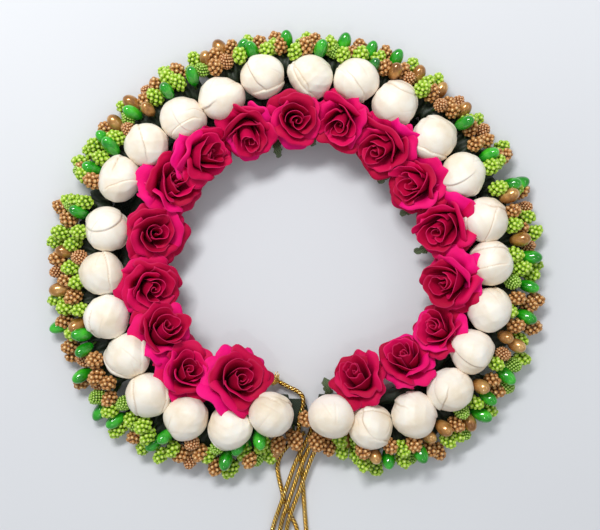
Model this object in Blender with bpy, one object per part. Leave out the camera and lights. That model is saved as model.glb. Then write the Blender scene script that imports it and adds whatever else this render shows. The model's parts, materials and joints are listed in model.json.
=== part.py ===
"""Flower hair ring: an open wired ring of paper roses, sola buds and stamen sprays, tied with gold cords.

The ring lies flat on the XY plane with its opening towards -Y.  Lengths are in metres.  A place on the
ring is given by a turn, in degrees, that starts at the opening and runs clockwise as seen from above: 90 is
the left side, 180 the back and 270 the right side.
"""
import math

import bmesh
import bpy
from mathutils import Vector

MM = 0.001

# The ring's plan
CORE_PATH_RADIUS = 50.0 * MM        # circle that the wire follows
FLAT_DEPTH = 10.9 * MM              # how far the open side is flattened inwards
FLAT_SHARPNESS = 12                 # how tightly the circle turns into the flattened side
LEFT_HINGE_TURN = 110.8             # where the wire bends when the left arm is opened
RIGHT_HINGE_TURN = 245.0            # where the wire bends when the right arm is opened
PATH_STEP = 5.0                     # degrees between the points of a curved path

# Woven backing band
BAND_THICKNESS = 1.0 * MM
BAND_INNER_OFFSET = -2.6 * MM       # its edges, measured from the wire's path
BAND_OUTER_OFFSET = 7.4 * MM
BAND_LEFT_END_TURN = -3.9           # the left end is the tab that shows in the opening
BAND_RIGHT_END_TURN = 354.4
BAND_HINGE_GAP = 1.4 * MM

# Tape-wrapped wire
CORE_RADIUS = 2.4 * MM
CORE_BAND_GAP = 0.35 * MM
CORE_HEIGHT = BAND_THICKNESS + CORE_BAND_GAP + CORE_RADIUS
CORE_LEFT_END_TURN = 3.0            # the wrapped wire stops on either side of the opening
CORE_RIGHT_END_TURN = 350.5
CORE_HINGE_GAP = 0.7 * MM

# Bound stems
STEM_RADIUS = 0.8 * MM
STEM_CLEARANCE = 0.5 * MM           # between a stem's end and the wire's wrapping

# Sola buds, each standing off the wire along a slope
BUD_RADIUS = 6.3 * MM
BUD_STEM_LENGTH = 0.24 * MM         # the stem that shows between the bud and its end
BUD_SLOPE = 46.5                    # degrees above the table
BUD_GAP = 0.4 * MM                  # between neighbours, along the row
BUD_FIRST_TURN = 9.7
BUD_LAST_TURN = 346.2
BUD_HINGE_GAP = 1.7 * MM            # and between the two buds beside a hinge
BUDS_ON_BODY = (8, 10, 8)           # at most, on the left arm, the back and the right arm
END_BUD_TUCK = 3.2 * MM             # the two end buds are bound further in
END_BUD_LIFT = 2.0 * MM             # and stand higher, on top of the wire
BUD_REACH = CORE_RADIUS + STEM_CLEARANCE + BUD_STEM_LENGTH + BUD_RADIUS
BUD_ROW_RADIUS = CORE_PATH_RADIUS + BUD_REACH * math.cos(math.radians(BUD_SLOPE))
BUD_HEIGHT = CORE_HEIGHT + BUD_REACH * math.sin(math.radians(BUD_SLOPE))
BUD_HINGE_STEP = math.degrees((2 * BUD_RADIUS + BUD_HINGE_GAP) / BUD_ROW_RADIUS)
BUD_RINGS = 7                       # rings of points from the stem to the tip
BUD_TIP_ANGLE = 165                 # degrees round from the stem, where the flat tip starts

# Paper roses
ROSE_RADIUS = 6.8 * MM
ROSE_DEPTH = 9.0 * MM               # from the calyx to the rim
ROSE_RISE = 8.85 * MM               # from the top of the wire's wrapping to the rim
ROSE_BUD_GAP = 0.4 * MM             # between the rims of the roses and the row of buds
ROSE_GAP = 0.15 * MM                # between neighbours, along the row
ROSE_FIRST_TURN = 27.8
ROSE_LAST_TURN = 329.4
ROSE_HINGE_GAP = 0.58 * MM          # and between the two roses beside a hinge
ROSES_ON_BODY = (5, 7, 5)           # at most
ROSE_RIM_HEIGHT = CORE_HEIGHT + CORE_RADIUS + ROSE_RISE
ROSE_ROW_RADIUS = BUD_ROW_RADIUS - BUD_RADIUS - ROSE_BUD_GAP - ROSE_RADIUS
ROSE_HINGE_STEP = math.degrees((2 * ROSE_RADIUS + ROSE_HINGE_GAP) / ROSE_ROW_RADIUS)
# How far each rose leans towards the ring's middle: they are bound by hand, so no two are alike.
ROSE_LEANS = (12, 24, 30, 14, 8, 17, 36, 36, 6, 26, 36, 30, 26, 34, 32, 30, 34)
# The cup's outline above its calyx, as shares of its depth and of its radius.
ROSE_OUTLINE = ((0.12, 0.34), (0.40, 0.60), (0.80, 0.90), (1.0, 1.0), (1.14, 0.86), (1.22, 0.50))
ROSE_STEM_BEND = 0.55               # share of the way to the calyx where the stem turns up

# Stamen sprays
FRINGE_SIDE_REACH = 24.8 * MM       # from the wire to the tips of the outer stamens, at the ring's sides
FRINGE_BACK_REACH = 21.5 * MM       # and at its back, where they are bound shorter
FRINGE_FLAT_DEPTH = 9.5 * MM        # the fringe flattens less at the open side than the wire
FRINGE_SHARPNESS = 8
SPRAYS_ON_BODY = (2, 3, 2)          # left arm, back, right arm
BUNCH_STEP = 6.9                    # degrees between two bunches of stamens
SPRAY_GAP = 4.4                     # degrees left free between two sprays of one body
SPRAY_HINGE_GAP = 9.4               # and between the two sprays beside a hinge, from bunch to bunch
SPRAY_FIRST_TURN = 3.6
SPRAY_LAST_TURN = 345.0
SHORT_END_TURN = 15.0               # nearer the opening than this, a bunch has no low head
FOOT_HALF_WIDTH = 0.6 * MM
FOOT_CLEARANCE = 2.0 * MM           # between a bunch's foot and the wire's wrapping
FOOT_BUD_GAP = 0.5 * MM             # between a foot and the bud above it
SPINE_RADIUS = 1.0 * MM
SPINE_BUD_OFFSET = 4.9 * MM         # how far outside the row of buds the spine runs
SPINE_PATH_RADIUS = BUD_ROW_RADIUS + SPINE_BUD_OFFSET
SPINE_HEIGHT = BUD_HEIGHT - BUD_RADIUS - FOOT_BUD_GAP - FOOT_HALF_WIDTH
HEAD_RADIUS = 2.2 * MM
HEAD_LENGTH = 6.6 * MM
HEAD_TIP_RADIUS = 1.1 * MM
HEAD_WIDE_FROM = 0.3                # shares of its length between which a head is at its widest
HEAD_WIDE_TO = 0.7
LOW_HEAD_HEIGHT = SPINE_HEIGHT + 1.6 * MM
LOW_HEAD_RISE = 0.4 * MM            # the low heads point slightly upwards
HIGH_HEAD_HEIGHT = SPINE_HEIGHT + 3.0 * MM
HIGH_HEAD_LEAN = 28                 # degrees outwards from upright
HEAD_BUD_GAP = 0.46 * MM            # between a high head and the bud beside it

# Gold tie cords.  A route's points are millimetres from the middle of the opening: across, out of the ring
# and above the table.  Each starts where the cord leaves the binding of the ring's right-hand end.
CORD_RADIUS = 0.7 * MM
CORD_POINT_STEP = 3.2 * MM
CURVE_STEPS = 20                    # steps on the smooth curve between two of a route's points
CROSSING_ROUTE = (
    (2.6, 9.5, 0.9), (0.4, 10.8, 0.85), (-2.2, 13.1, 0.85), (-4.5, 16.0, 0.85), (-5.5, 19.5, 0.85),
    (-5.0, 23.3, 0.85), (-4.1, 26.9, 0.85), (-3.6, 29.5, 0.85), (-1.6, 33.9, 0.85),
    (0.2, 37.9, 0.85), (0.9, 44.9, 0.85), (0.6, 54.9, 0.85), (0.0, 64.9, 0.85), (-0.4, 72.4, 0.85),
    (-0.5, 76.9, 0.85), (0.7, 79.7, 0.85), (3.4, 80.8, 0.85), (6.1, 79.7, 0.85), (7.3, 76.9, 0.85),
    (7.0, 68.9, 0.85), (5.4, 57.9, 0.85), (4.0, 46.9, 0.85), (2.9, 36.9, 0.85), (2.3, 28.9, 0.85),
    (1.9, 21.9, 0.85), (1.4, 16.9, 0.85), (1.0, 14.1, 1.3), (0.8, 12.1, 2.2), (0.7, 10.3, 2.65),
    (0.8, 7.9, 2.55), (1.1, 4.5, 2.3), (2.1, 1.1, 2.3), (1.9, -1.5, 2.3), (0.3, -3.1, 2.3),
    (-2.0, -4.2, 2.2), (-4.8, -5.7, 2.05),
)
LOOPED_ROUTE = (
    (5.5, 3.5, 2.3), (5.2, 6.1, 2.35), (4.2, 9.3, 2.6), (2.5, 12.9, 2.75), (0.9, 15.9, 2.75),
    (-0.6, 19.3, 2.75), (-1.7, 22.3, 2.75), (-3.1, 26.3, 2.75), (-4.3, 29.9, 2.7),
    (-5.7, 33.9, 1.6), (-6.9, 37.9, 0.85), (-8.4, 43.9, 0.85), (-10.2, 50.9, 0.85),
    (-12.6, 57.9, 0.85), (-14.5, 63.5, 0.85), (-15.0, 67.9, 0.85), (-13.9, 70.6, 0.85),
    (-11.2, 71.7, 0.85), (-8.5, 70.6, 0.85), (-7.4, 67.9, 0.85), (-7.5, 62.9, 0.85),
    (-7.0, 55.9, 0.85), (-6.2, 47.9, 0.85), (-5.2, 40.9, 0.85), (-4.6, 37.5, 0.95),
    (-3.6, 33.5, 2.3), (-2.3, 29.9, 2.75), (-1.1, 26.5, 2.75), (0.3, 22.5, 2.75), (1.6, 19.1, 2.75),
    (2.9, 15.9, 2.75), (4.5, 12.8, 2.75), (6.2, 9.3, 2.6), (7.3, 6.1, 2.35), (7.6, 3.5, 2.3),
)
SINGLE_ROUTE = (
    (9.8, 3.7, 2.3), (9.5, 6.1, 2.35), (8.3, 9.3, 2.6), (6.6, 12.7, 2.75), (5.0, 15.9, 2.75),
    (3.6, 19.3, 2.75), (2.3, 22.9, 2.75), (1.0, 26.5, 2.75), (-0.4, 30.1, 2.75), (-1.7, 33.7, 2.7),
    (-2.6, 37.1, 1.6), (-3.0, 40.5, 0.9), (-3.2, 46.9, 0.85), (-3.3, 53.9, 0.85),
    (-3.7, 60.9, 0.85), (-3.9, 66.9, 0.85), (-3.6, 72.9, 0.85),
)
KNOT_RADIUS = 1.5 * MM
KNOT_GAP = 0.3 * MM                 # between the knot and the tube's end


def clear_scene():
    """Remove every object of the scene."""
    for old in list(bpy.data.objects):
        bpy.data.objects.remove(old, do_unlink=True)


def make_collection(name):
    """Return a new collection that is linked to the scene."""
    collection = bpy.data.collections.new(name)
    bpy.context.scene.collection.children.link(collection)
    return collection


def make_material(name, colour, roughness, metallic=0.0):
    """Return a Principled material of one colour."""
    material = bpy.data.materials.new(name)
    material.use_nodes = True
    shader = material.node_tree.nodes["Principled BSDF"]
    shader.inputs["Base Color"].default_value = (*colour, 1.0)
    shader.inputs["Roughness"].default_value = roughness
    shader.inputs["Metallic"].default_value = metallic
    return material


def path_radius(turn, radius, flat_depth=FLAT_DEPTH, sharpness=FLAT_SHARPNESS):
    """Distance from the ring's middle to a row's path: a circle with a flattened open side."""
    toward_opening = math.cos(math.radians(turn))
    if toward_opening <= 0:
        return radius
    flat = (radius - flat_depth) / toward_opening
    return (radius ** -sharpness + flat ** -sharpness) ** (-1 / sharpness)


def outward(turn):
    """Unit vector from the ring's middle towards a turn."""
    return Vector((-math.sin(math.radians(turn)), -math.cos(math.radians(turn)), 0))


def along(turn):
    """Unit vector along the ring, towards greater turns."""
    return Vector((-math.cos(math.radians(turn)), math.sin(math.radians(turn)), 0))


def ring_point(turn, distance, height):
    """Point at a turn, a distance from the ring's middle and a height above the table."""
    return outward(turn) * distance + Vector((0, 0, height))


def path_turns(first, last):
    """Turns along a path, evenly spaced and about PATH_STEP apart."""
    count = max(2, math.ceil((last - first) / PATH_STEP))
    return [first + (last - first) * i / count for i in range(count + 1)]


def gap_turn(gap):
    """Turn, in degrees, that half of a gap at a hinge takes on the wire's path."""
    return math.degrees(gap / 2 / CORE_PATH_RADIUS)


def row_turns(first, last, counts, hinge_step, row_radius, spacing):
    """Turns of a row's flowers on the left arm, the back and the right arm, no closer than the spacing."""
    half = hinge_step / 2
    spans = (
        (first, LEFT_HINGE_TURN - half),
        (LEFT_HINGE_TURN + half, RIGHT_HINGE_TURN - half),
        (RIGHT_HINGE_TURN + half, last),
    )
    rows = []
    for (start, end), count in zip(spans, counts):
        room = int(math.radians(end - start) * row_radius / spacing)
        steps = max(1, min(count - 1, room))
        rows.append([start + (end - start) * i / steps for i in range(steps + 1)])
    return rows


def place(obj, material, collection, parent):
    """Link an object, give it its material and hang it on its body without moving it."""
    obj.data.materials.append(material)
    collection.objects.link(obj)
    obj.parent = parent
    obj.matrix_parent_inverse = parent.matrix_world.inverted()


def swept_solid(name, points, radii, sides_resolution):
    """Round solid along a polyline whose radius changes from point to point, closed at both ends."""
    curve = bpy.data.curves.new(name, "CURVE")
    curve.dimensions = "3D"
    curve.bevel_depth = MM
    curve.bevel_resolution = sides_resolution
    curve.use_fill_caps = True
    spline = curve.splines.new("POLY")
    spline.points.add(len(points) - 1)
    spline.use_smooth = True
    for spline_point, point, radius in zip(spline.points, points, radii):
        spline_point.co = (*point, 1.0)
        spline_point.radius = radius / MM
    return bpy.data.objects.new(name, curve)


def make_empty(name, location, collection):
    """Empty that carries one body; a hinged body's empty stands on its hinge axis."""
    empty = bpy.data.objects.new(name, None)
    empty.location = location
    collection.objects.link(empty)
    return empty


def wrapped_core(name, first, last, material, collection, body):
    """Length of steel wire wrapped in floral tape."""
    points = []
    for turn in path_turns(first, last):
        points.append(ring_point(turn, path_radius(turn, CORE_PATH_RADIUS), CORE_HEIGHT))
    core = swept_solid(name, points, [CORE_RADIUS] * len(points), 2)
    place(core, material, collection, body)


def backing_band(name, first, last, material, collection, body):
    """Flat woven band below the wire: a curved outline with the band's thickness."""
    turns = path_turns(first, last)
    edge = []
    for turn in turns:
        edge.append(ring_point(turn, path_radius(turn, CORE_PATH_RADIUS) + BAND_INNER_OFFSET, 0))
    for turn in reversed(turns):
        edge.append(ring_point(turn, path_radius(turn, CORE_PATH_RADIUS) + BAND_OUTER_OFFSET, 0))
    outline = bpy.data.curves.new(name, "CURVE")
    outline.dimensions = "2D"
    outline.fill_mode = "BOTH"
    outline.extrude = BAND_THICKNESS / 2
    spline = outline.splines.new("POLY")
    spline.points.add(len(edge) - 1)
    for spline_point, point in zip(spline.points, edge):
        spline_point.co = (*point, 1.0)
    spline.use_cyclic_u = True
    band = bpy.data.objects.new(name, outline)
    band.location.z = BAND_THICKNESS / 2
    place(band, material, collection, body)


def sola_bud(name, turn, is_end, material, collection, body):
    """Bud of rolled sola wood on its bound stem, leaning outwards from the wire."""
    foot = ring_point(turn, path_radius(turn, CORE_PATH_RADIUS), CORE_HEIGHT)
    middle = ring_point(turn, path_radius(turn, BUD_ROW_RADIUS), BUD_HEIGHT)
    if is_end:
        middle += Vector((0, 0, END_BUD_LIFT)) - outward(turn) * END_BUD_TUCK
    axis = (middle - foot).normalized()
    points = [foot + axis * (CORE_RADIUS + STEM_CLEARANCE)]
    radii = [STEM_RADIUS]
    stem_angle = math.asin(STEM_RADIUS / BUD_RADIUS)
    tip_angle = math.radians(BUD_TIP_ANGLE)
    for i in range(BUD_RINGS + 1):
        angle = stem_angle + (tip_angle - stem_angle) * i / BUD_RINGS
        points.append(middle - axis * BUD_RADIUS * math.cos(angle))
        radii.append(BUD_RADIUS * math.sin(angle))
    bud = swept_solid(name, points, radii, 2)
    place(bud, material, collection, body)


def paper_rose(name, turn, lean, material, collection, body):
    """Paper rose: a cup of petals with a calyx, on a stem that bends in to the wire."""
    distance = path_radius(turn, ROSE_ROW_RADIUS)
    rim = ring_point(turn, distance, ROSE_RIM_HEIGHT)
    tilt = math.radians(lean)
    axis = Vector((0, 0, 1)) * math.cos(tilt) - outward(turn) * math.sin(tilt)
    calyx = rim - axis * ROSE_DEPTH
    wire = ring_point(turn, path_radius(turn, CORE_PATH_RADIUS), CORE_HEIGHT)
    reach = CORE_RADIUS + STEM_RADIUS + STEM_CLEARANCE
    foot = wire - outward(turn) * reach
    points = [foot, foot.lerp(calyx, ROSE_STEM_BEND), calyx - axis * STEM_RADIUS]
    radii = [STEM_RADIUS] * len(points)
    for depth_share, radius_share in ROSE_OUTLINE:
        points.append(calyx + axis * ROSE_DEPTH * depth_share)
        radii.append(ROSE_RADIUS * radius_share)
    rose = swept_solid(name, points, radii, 3)
    place(rose, material, collection, body)


def fringe_reach(turn):
    """Distance from the ring's middle to the tips of the outer stamens."""
    toward_back = max(0.0, -math.cos(math.radians(turn)))
    shorter = (FRINGE_SIDE_REACH - FRINGE_BACK_REACH) * toward_back ** 2
    side_tips = CORE_PATH_RADIUS + FRINGE_SIDE_REACH
    return path_radius(turn, side_tips, FRINGE_FLAT_DEPTH, FRINGE_SHARPNESS) - shorter


def has_low_head(turn):
    """Whether a bunch is far enough from the opening, and its cords, to have a low stamen head."""
    return SHORT_END_TURN < turn < 360 - SHORT_END_TURN


def grow(cage, face, side, normals, stations):
    """Extrude a square face through stations of (middle, half width).

    Each station is square to its own entry of normals; the first entry belongs to the face itself.
    """
    middle = face.calc_center_median()
    across = normals[0].cross(side)
    for (station, half_width), direction in zip(stations, normals[1:]):
        face = bmesh.ops.extrude_discrete_faces(cage, faces=[face])["faces"][0]
        new_across = direction.cross(side)
        for corner in face.verts:
            offset = corner.co - middle
            side_sign = math.copysign(1, offset.dot(side))
            across_sign = math.copysign(1, offset.dot(across))
            corner.co = station + (side * side_sign + new_across * across_sign) * half_width
        middle = station
        across = new_across


def head_stations(start, axis, rise):
    """Middles and half widths of a stamen head: a thin neck, a wide middle and a blunt tip."""
    stations = (
        (0, STEM_RADIUS),
        (HEAD_WIDE_FROM, HEAD_RADIUS),
        (HEAD_WIDE_TO, HEAD_RADIUS),
        (1, HEAD_TIP_RADIUS),
    )
    head = []
    for index, (share, half_width) in enumerate(stations):
        lifted = start + Vector((0, 0, index * rise))
        head.append((lifted + axis * HEAD_LENGTH * share, half_width))
    return head


def grow_bunch(cage, turn, inner_face, outer_face, top_face):
    """Grow one bunch out of the spine: its bound foot by the wire, a low stamen head and a high one."""
    side = along(turn)
    out = outward(turn)
    up = Vector((0, 0, 1))
    foot = path_radius(turn, CORE_PATH_RADIUS) + CORE_RADIUS + FOOT_CLEARANCE
    grow(cage, inner_face, side, (-out, -out), ((ring_point(turn, foot, SPINE_HEIGHT), FOOT_HALF_WIDTH),))

    if has_low_head(turn):
        low_start = ring_point(turn, fringe_reach(turn) - HEAD_LENGTH, LOW_HEAD_HEIGHT)
        grow(cage, outer_face, side, (out,) * 5, head_stations(low_start, out, LOW_HEAD_RISE))

    # A high head starts where it just clears the bud beside it.
    clear = BUD_RADIUS + HEAD_RADIUS + HEAD_BUD_GAP
    beside_bud = math.sqrt(clear ** 2 - (BUD_HEIGHT - HIGH_HEAD_HEIGHT) ** 2)
    high_start = ring_point(turn, path_radius(turn, BUD_ROW_RADIUS + beside_bud), HIGH_HEAD_HEIGHT)
    lean = math.radians(HIGH_HEAD_LEAN)
    axis = out * math.sin(lean) + up * math.cos(lean)
    grow(cage, top_face, side, (up, axis, axis, axis, axis), head_stations(high_start, axis, 0))


def stamen_spray(name, turns, material, collection, body):
    """Row of stamen bunches bound to one spine: a square bar whose faces grow into the bunches."""
    cage = bmesh.new()
    half_turn = math.degrees(SPINE_RADIUS / SPINE_PATH_RADIUS)
    rings = []
    for turn in turns:
        for station in (turn - half_turn, turn + half_turn):
            distance = path_radius(station, SPINE_PATH_RADIUS)
            corners = ((-1, -1), (1, -1), (1, 1), (-1, 1))
            ring = []
            for out_sign, up_sign in corners:
                height = SPINE_HEIGHT + up_sign * SPINE_RADIUS
                ring.append(cage.verts.new(ring_point(station, distance + out_sign * SPINE_RADIUS, height)))
            rings.append(ring)
    bunches = []
    for index, (ring, following) in enumerate(zip(rings, rings[1:])):
        sides = []
        for i in range(4):
            k = (i + 1) % 4
            sides.append(cage.faces.new((ring[i], ring[k], following[k], following[i])))
        if index % 2 == 0:
            bunches.append((turns[index // 2], sides[3], sides[1], sides[2]))
    cage.faces.new(rings[0])
    cage.faces.new(rings[-1])
    for turn, inner_face, outer_face, top_face in bunches:
        grow_bunch(cage, turn, inner_face, outer_face, top_face)
    bmesh.ops.recalc_face_normals(cage, faces=cage.faces)
    mesh = bpy.data.meshes.new(name)
    cage.to_mesh(mesh)
    cage.free()
    spray = bpy.data.objects.new(name, mesh)
    place(spray, material, collection, body)


def between(a, b, c, d, t):
    """Point of the Catmull-Rom curve from b to c at the share t, where a and d are its neighbours."""
    bend = 2 * a - 5 * b + 4 * c - d
    return 0.5 * (2 * b + (c - a) * t + bend * t ** 2 + (3 * b - a - 3 * c + d) * t ** 3)


def smooth_route(route, step):
    """Evenly spaced points on the smooth curve through a route's own points."""
    padded = [2 * route[0] - route[1], *route, 2 * route[-1] - route[-2]]
    fine = []
    for a, b, c, d in zip(padded, padded[1:], padded[2:], padded[3:]):
        for i in range(CURVE_STEPS):
            fine.append(between(a, b, c, d, i / CURVE_STEPS))
    fine.append(route[-1])
    lengths = [0.0]
    for a, b in zip(fine, fine[1:]):
        lengths.append(lengths[-1] + (b - a).length)
    count = round(lengths[-1] / step)
    points = []
    index = 0
    for i in range(count + 1):
        target = lengths[-1] * i / count
        while index < len(fine) - 2 and lengths[index + 1] < target:
            index += 1
        share = (target - lengths[index]) / (lengths[index + 1] - lengths[index])
        points.append(fine[index].lerp(fine[index + 1], min(1.0, share)))
    return points


def route_points(route):
    """A route's points, measured from the ring's middle."""
    opening = path_radius(0, CORE_PATH_RADIUS)
    points = []
    for across, out, height in route:
        points.append(Vector((across * MM, -opening - out * MM, height * MM)))
    return points


def tie_cord(name, route, material, collection, body):
    """Gold cord as a plain tube along its route."""
    points = smooth_route(route_points(route), CORD_POINT_STEP)
    cord = swept_solid(name, points, [CORD_RADIUS] * len(points), 2)
    place(cord, material, collection, body)


def cord_knot(name, route, material, collection, body):
    """Overhand knot at the end of a cord, as a small ball that the tube stops short of."""
    before, end = route_points(route)[-2:]
    direction = (end - before).normalized()
    middle = end + direction * (KNOT_RADIUS + KNOT_GAP)
    middle.z = KNOT_RADIUS
    mesh = bpy.data.meshes.new(name)
    ball = bmesh.new()
    bmesh.ops.create_uvsphere(ball, u_segments=10, v_segments=6, radius=KNOT_RADIUS)
    ball.to_mesh(mesh)
    ball.free()
    knot = bpy.data.objects.new(name, mesh)
    knot.location = middle
    place(knot, material, collection, body)


def make_ring():
    """Build the three bodies of the ring and everything that is bound to them."""
    parts = make_collection("flower_hair_ring")
    tape = make_material("floral_tape", (0.012, 0.020, 0.008), 0.75)
    weave = make_material("woven_backing", (0.014, 0.024, 0.012), 0.85)
    sola = make_material("sola_wood", (0.84, 0.76, 0.64), 0.6)
    paper = make_material("magenta_paper", (0.62, 0.008, 0.12), 0.6)
    lacquer = make_material("stamen_lacquer", (0.24, 0.42, 0.03), 0.35)
    gold = make_material("gold_cord", (0.72, 0.43, 0.09), 0.35, 0.9)

    left_axis = ring_point(LEFT_HINGE_TURN, CORE_PATH_RADIUS, CORE_HEIGHT)
    right_axis = ring_point(RIGHT_HINGE_TURN, CORE_PATH_RADIUS, CORE_HEIGHT)
    back = make_empty("crown_back", (0, 0, 0), parts)
    left_arm = make_empty("left_arm", left_axis, parts)
    right_arm = make_empty("right_arm", right_axis, parts)
    left_arm.parent = back
    right_arm.parent = back
    bpy.context.view_layer.update()
    bodies = (left_arm, back, right_arm)
    names = ("left", "back", "right")

    core_half = gap_turn(CORE_HINGE_GAP)
    band_half = gap_turn(BAND_HINGE_GAP)
    core_spans = (
        (CORE_LEFT_END_TURN, LEFT_HINGE_TURN - core_half),
        (LEFT_HINGE_TURN + core_half, RIGHT_HINGE_TURN - core_half),
        (RIGHT_HINGE_TURN + core_half, CORE_RIGHT_END_TURN),
    )
    band_spans = (
        (BAND_LEFT_END_TURN, LEFT_HINGE_TURN - band_half),
        (LEFT_HINGE_TURN + band_half, RIGHT_HINGE_TURN - band_half),
        (RIGHT_HINGE_TURN + band_half, BAND_RIGHT_END_TURN),
    )
    for side, body, core_span, band_span in zip(names, bodies, core_spans, band_spans):
        wrapped_core(f"{side}_wrapped_core", *core_span, tape, parts, body)
        backing_band(f"{side}_backing_band", *band_span, weave, parts, body)

    bud_spacing = 2 * BUD_RADIUS + BUD_GAP
    bud_rows = row_turns(
        BUD_FIRST_TURN, BUD_LAST_TURN, BUDS_ON_BODY, BUD_HINGE_STEP, BUD_ROW_RADIUS, bud_spacing
    )
    bud_count = sum(len(row) for row in bud_rows)
    number = 0
    for row, body in zip(bud_rows, bodies):
        for turn in row:
            number += 1
            is_end = number in (1, bud_count)
            sola_bud(f"sola_bud_{number:02d}", turn, is_end, sola, parts, body)

    rose_spacing = 2 * ROSE_RADIUS + ROSE_GAP
    rose_rows = row_turns(
        ROSE_FIRST_TURN, ROSE_LAST_TURN, ROSES_ON_BODY, ROSE_HINGE_STEP, ROSE_ROW_RADIUS, rose_spacing
    )
    number = 0
    for row, body in zip(rose_rows, bodies):
        for turn in row:
            lean = ROSE_LEANS[number % len(ROSE_LEANS)]
            number += 1
            paper_rose(f"paper_rose_{number:02d}", turn, lean, paper, parts, body)

    half = SPRAY_HINGE_GAP / 2
    spray_spans = (
        (SPRAY_FIRST_TURN, LEFT_HINGE_TURN - half),
        (LEFT_HINGE_TURN + half, RIGHT_HINGE_TURN - half),
        (RIGHT_HINGE_TURN + half, SPRAY_LAST_TURN),
    )
    number = 0
    open_side_reach = 0
    for (first, last), count, body in zip(spray_spans, SPRAYS_ON_BODY, bodies):
        width = (last - first - (count - 1) * (BUNCH_STEP + SPRAY_GAP)) / count
        for i in range(count):
            number += 1
            start = first + i * (width + BUNCH_STEP + SPRAY_GAP)
            bunches = max(2, round(width / BUNCH_STEP) + 1)
            turns = [start + width * k / (bunches - 1) for k in range(bunches)]
            stamen_spray(f"stamen_spray_{number}", turns, lacquer, parts, body)
            for turn in filter(has_low_head, turns):
                open_side_reach = max(open_side_reach, fringe_reach(turn) * math.cos(math.radians(turn)))

    tie_cord("crossing_tie_cord", CROSSING_ROUTE, gold, parts, right_arm)
    tie_cord("looped_tie_cord", LOOPED_ROUTE, gold, parts, right_arm)
    tie_cord("single_tie_cord", SINGLE_ROUTE, gold, parts, right_arm)
    cord_knot("single_cord_knot", SINGLE_ROUTE, gold, parts, right_arm)

    # The origin is in the middle of the ring's outline, on the table.
    back.location.y = (open_side_reach - CORE_PATH_RADIUS - FRINGE_BACK_REACH) / 2


clear_scene()
make_ring()
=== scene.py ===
# %% [markdown]
# # Flower hair ring
# This file dresses a plain, jointed model of a flower ring for a hair bun.  The plain model is loaded first
# and never moved.  Each flower, bead and cord is then worked out as a surface and laid where the plain
# model says.

# %% Load the frame
import json
import math

import bpy
import numpy as np
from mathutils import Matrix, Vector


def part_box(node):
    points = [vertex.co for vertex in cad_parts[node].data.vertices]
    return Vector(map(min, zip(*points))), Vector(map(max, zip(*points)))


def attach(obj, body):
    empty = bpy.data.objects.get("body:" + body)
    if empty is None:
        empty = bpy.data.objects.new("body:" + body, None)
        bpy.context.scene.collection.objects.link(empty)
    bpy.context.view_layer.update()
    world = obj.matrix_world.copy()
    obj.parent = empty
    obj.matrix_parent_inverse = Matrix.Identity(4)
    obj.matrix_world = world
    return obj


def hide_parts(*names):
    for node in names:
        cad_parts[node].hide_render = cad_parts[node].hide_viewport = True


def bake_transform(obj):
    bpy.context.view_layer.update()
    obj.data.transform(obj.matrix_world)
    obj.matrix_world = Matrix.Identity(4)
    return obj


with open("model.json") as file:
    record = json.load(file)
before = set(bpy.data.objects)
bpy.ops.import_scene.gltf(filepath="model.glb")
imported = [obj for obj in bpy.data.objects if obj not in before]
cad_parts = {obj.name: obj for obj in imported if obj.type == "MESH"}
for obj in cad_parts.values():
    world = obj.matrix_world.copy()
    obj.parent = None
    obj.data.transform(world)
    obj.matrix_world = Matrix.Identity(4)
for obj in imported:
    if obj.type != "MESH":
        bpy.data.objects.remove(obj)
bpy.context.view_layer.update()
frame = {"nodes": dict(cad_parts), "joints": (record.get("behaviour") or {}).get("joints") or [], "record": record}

MM = 0.001
body_of_node = {node: body for body, nodes in frame["record"]["behaviour"]["bodies"].items()
                for node in nodes}

# %% [markdown]
# The ring is easiest to describe by a turn and a distance.  A turn of 0 is the opening, 90 the left side
# and 180 the back.  The wire runs on a circle whose open side is flattened; a high power blends the two
# shapes.  The circle's middle is read off the backing band, whose outer edge is a known distance beyond the
# wire.

# %% Turns and distances
WIRE_PATH = 50.0 * MM
BAND_OUTER = 7.4 * MM
BAND_INNER = -2.6 * MM
FLAT_DEPTH = 10.9 * MM
FLAT_SHARPNESS = 12
ring_middle = np.array([0.0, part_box("back_backing_band")[1].y - WIRE_PATH - BAND_OUTER, 0.0])
left_hinge, right_hinge = (np.array(joint["pos_m"]) for joint in frame["joints"])


def path_distance(turn, radius, flat_depth=FLAT_DEPTH, sharpness=FLAT_SHARPNESS):
    """Distance of a row: (radius^-n + flattened^-n)^(-1/n) on the open side, and radius on the back."""
    toward = np.maximum(np.cos(np.radians(turn)), 1e-6)
    flat = (radius - flat_depth) / toward
    blended = (radius ** -sharpness + flat ** -sharpness) ** (-1 / sharpness)
    return np.where(np.cos(np.radians(turn)) > 0, blended, radius)


def outward(turn):
    """Unit vectors from the middle towards each turn."""
    angle = np.radians(turn)
    return np.stack([-np.sin(angle), -np.cos(angle), np.zeros_like(angle)], axis=-1)


def along(turn):
    """Unit vectors along the ring, towards greater turns."""
    angle = np.radians(turn)
    return np.stack([-np.cos(angle), np.sin(angle), np.zeros_like(angle)], axis=-1)


def ring_point(turn, distance, height):
    """Points at turns, distances from the middle and heights above the table."""
    turn = np.asarray(turn, float)
    point = ring_middle + outward(turn) * np.asarray(distance)[..., None]
    point[..., 2] = height
    return point


def turn_of(point):
    """The turn at which a point lies."""
    offset = np.asarray(point) - ring_middle
    return math.degrees(math.atan2(-offset[0], -offset[1])) % 360


left_turn, right_turn = turn_of(left_hinge), turn_of(right_hinge)
print("ring middle", ring_middle, "hinges at", left_turn, right_turn)

# %% [markdown]
# Every piece here is one or more grids of points.  One function turns grids into a mesh: a grid may close
# round on itself, and its ends may be capped.  The faces are worked out as whole index arrays.

# %% Grids to meshes
UP = np.array([0.0, 0.0, 1.0])


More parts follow.
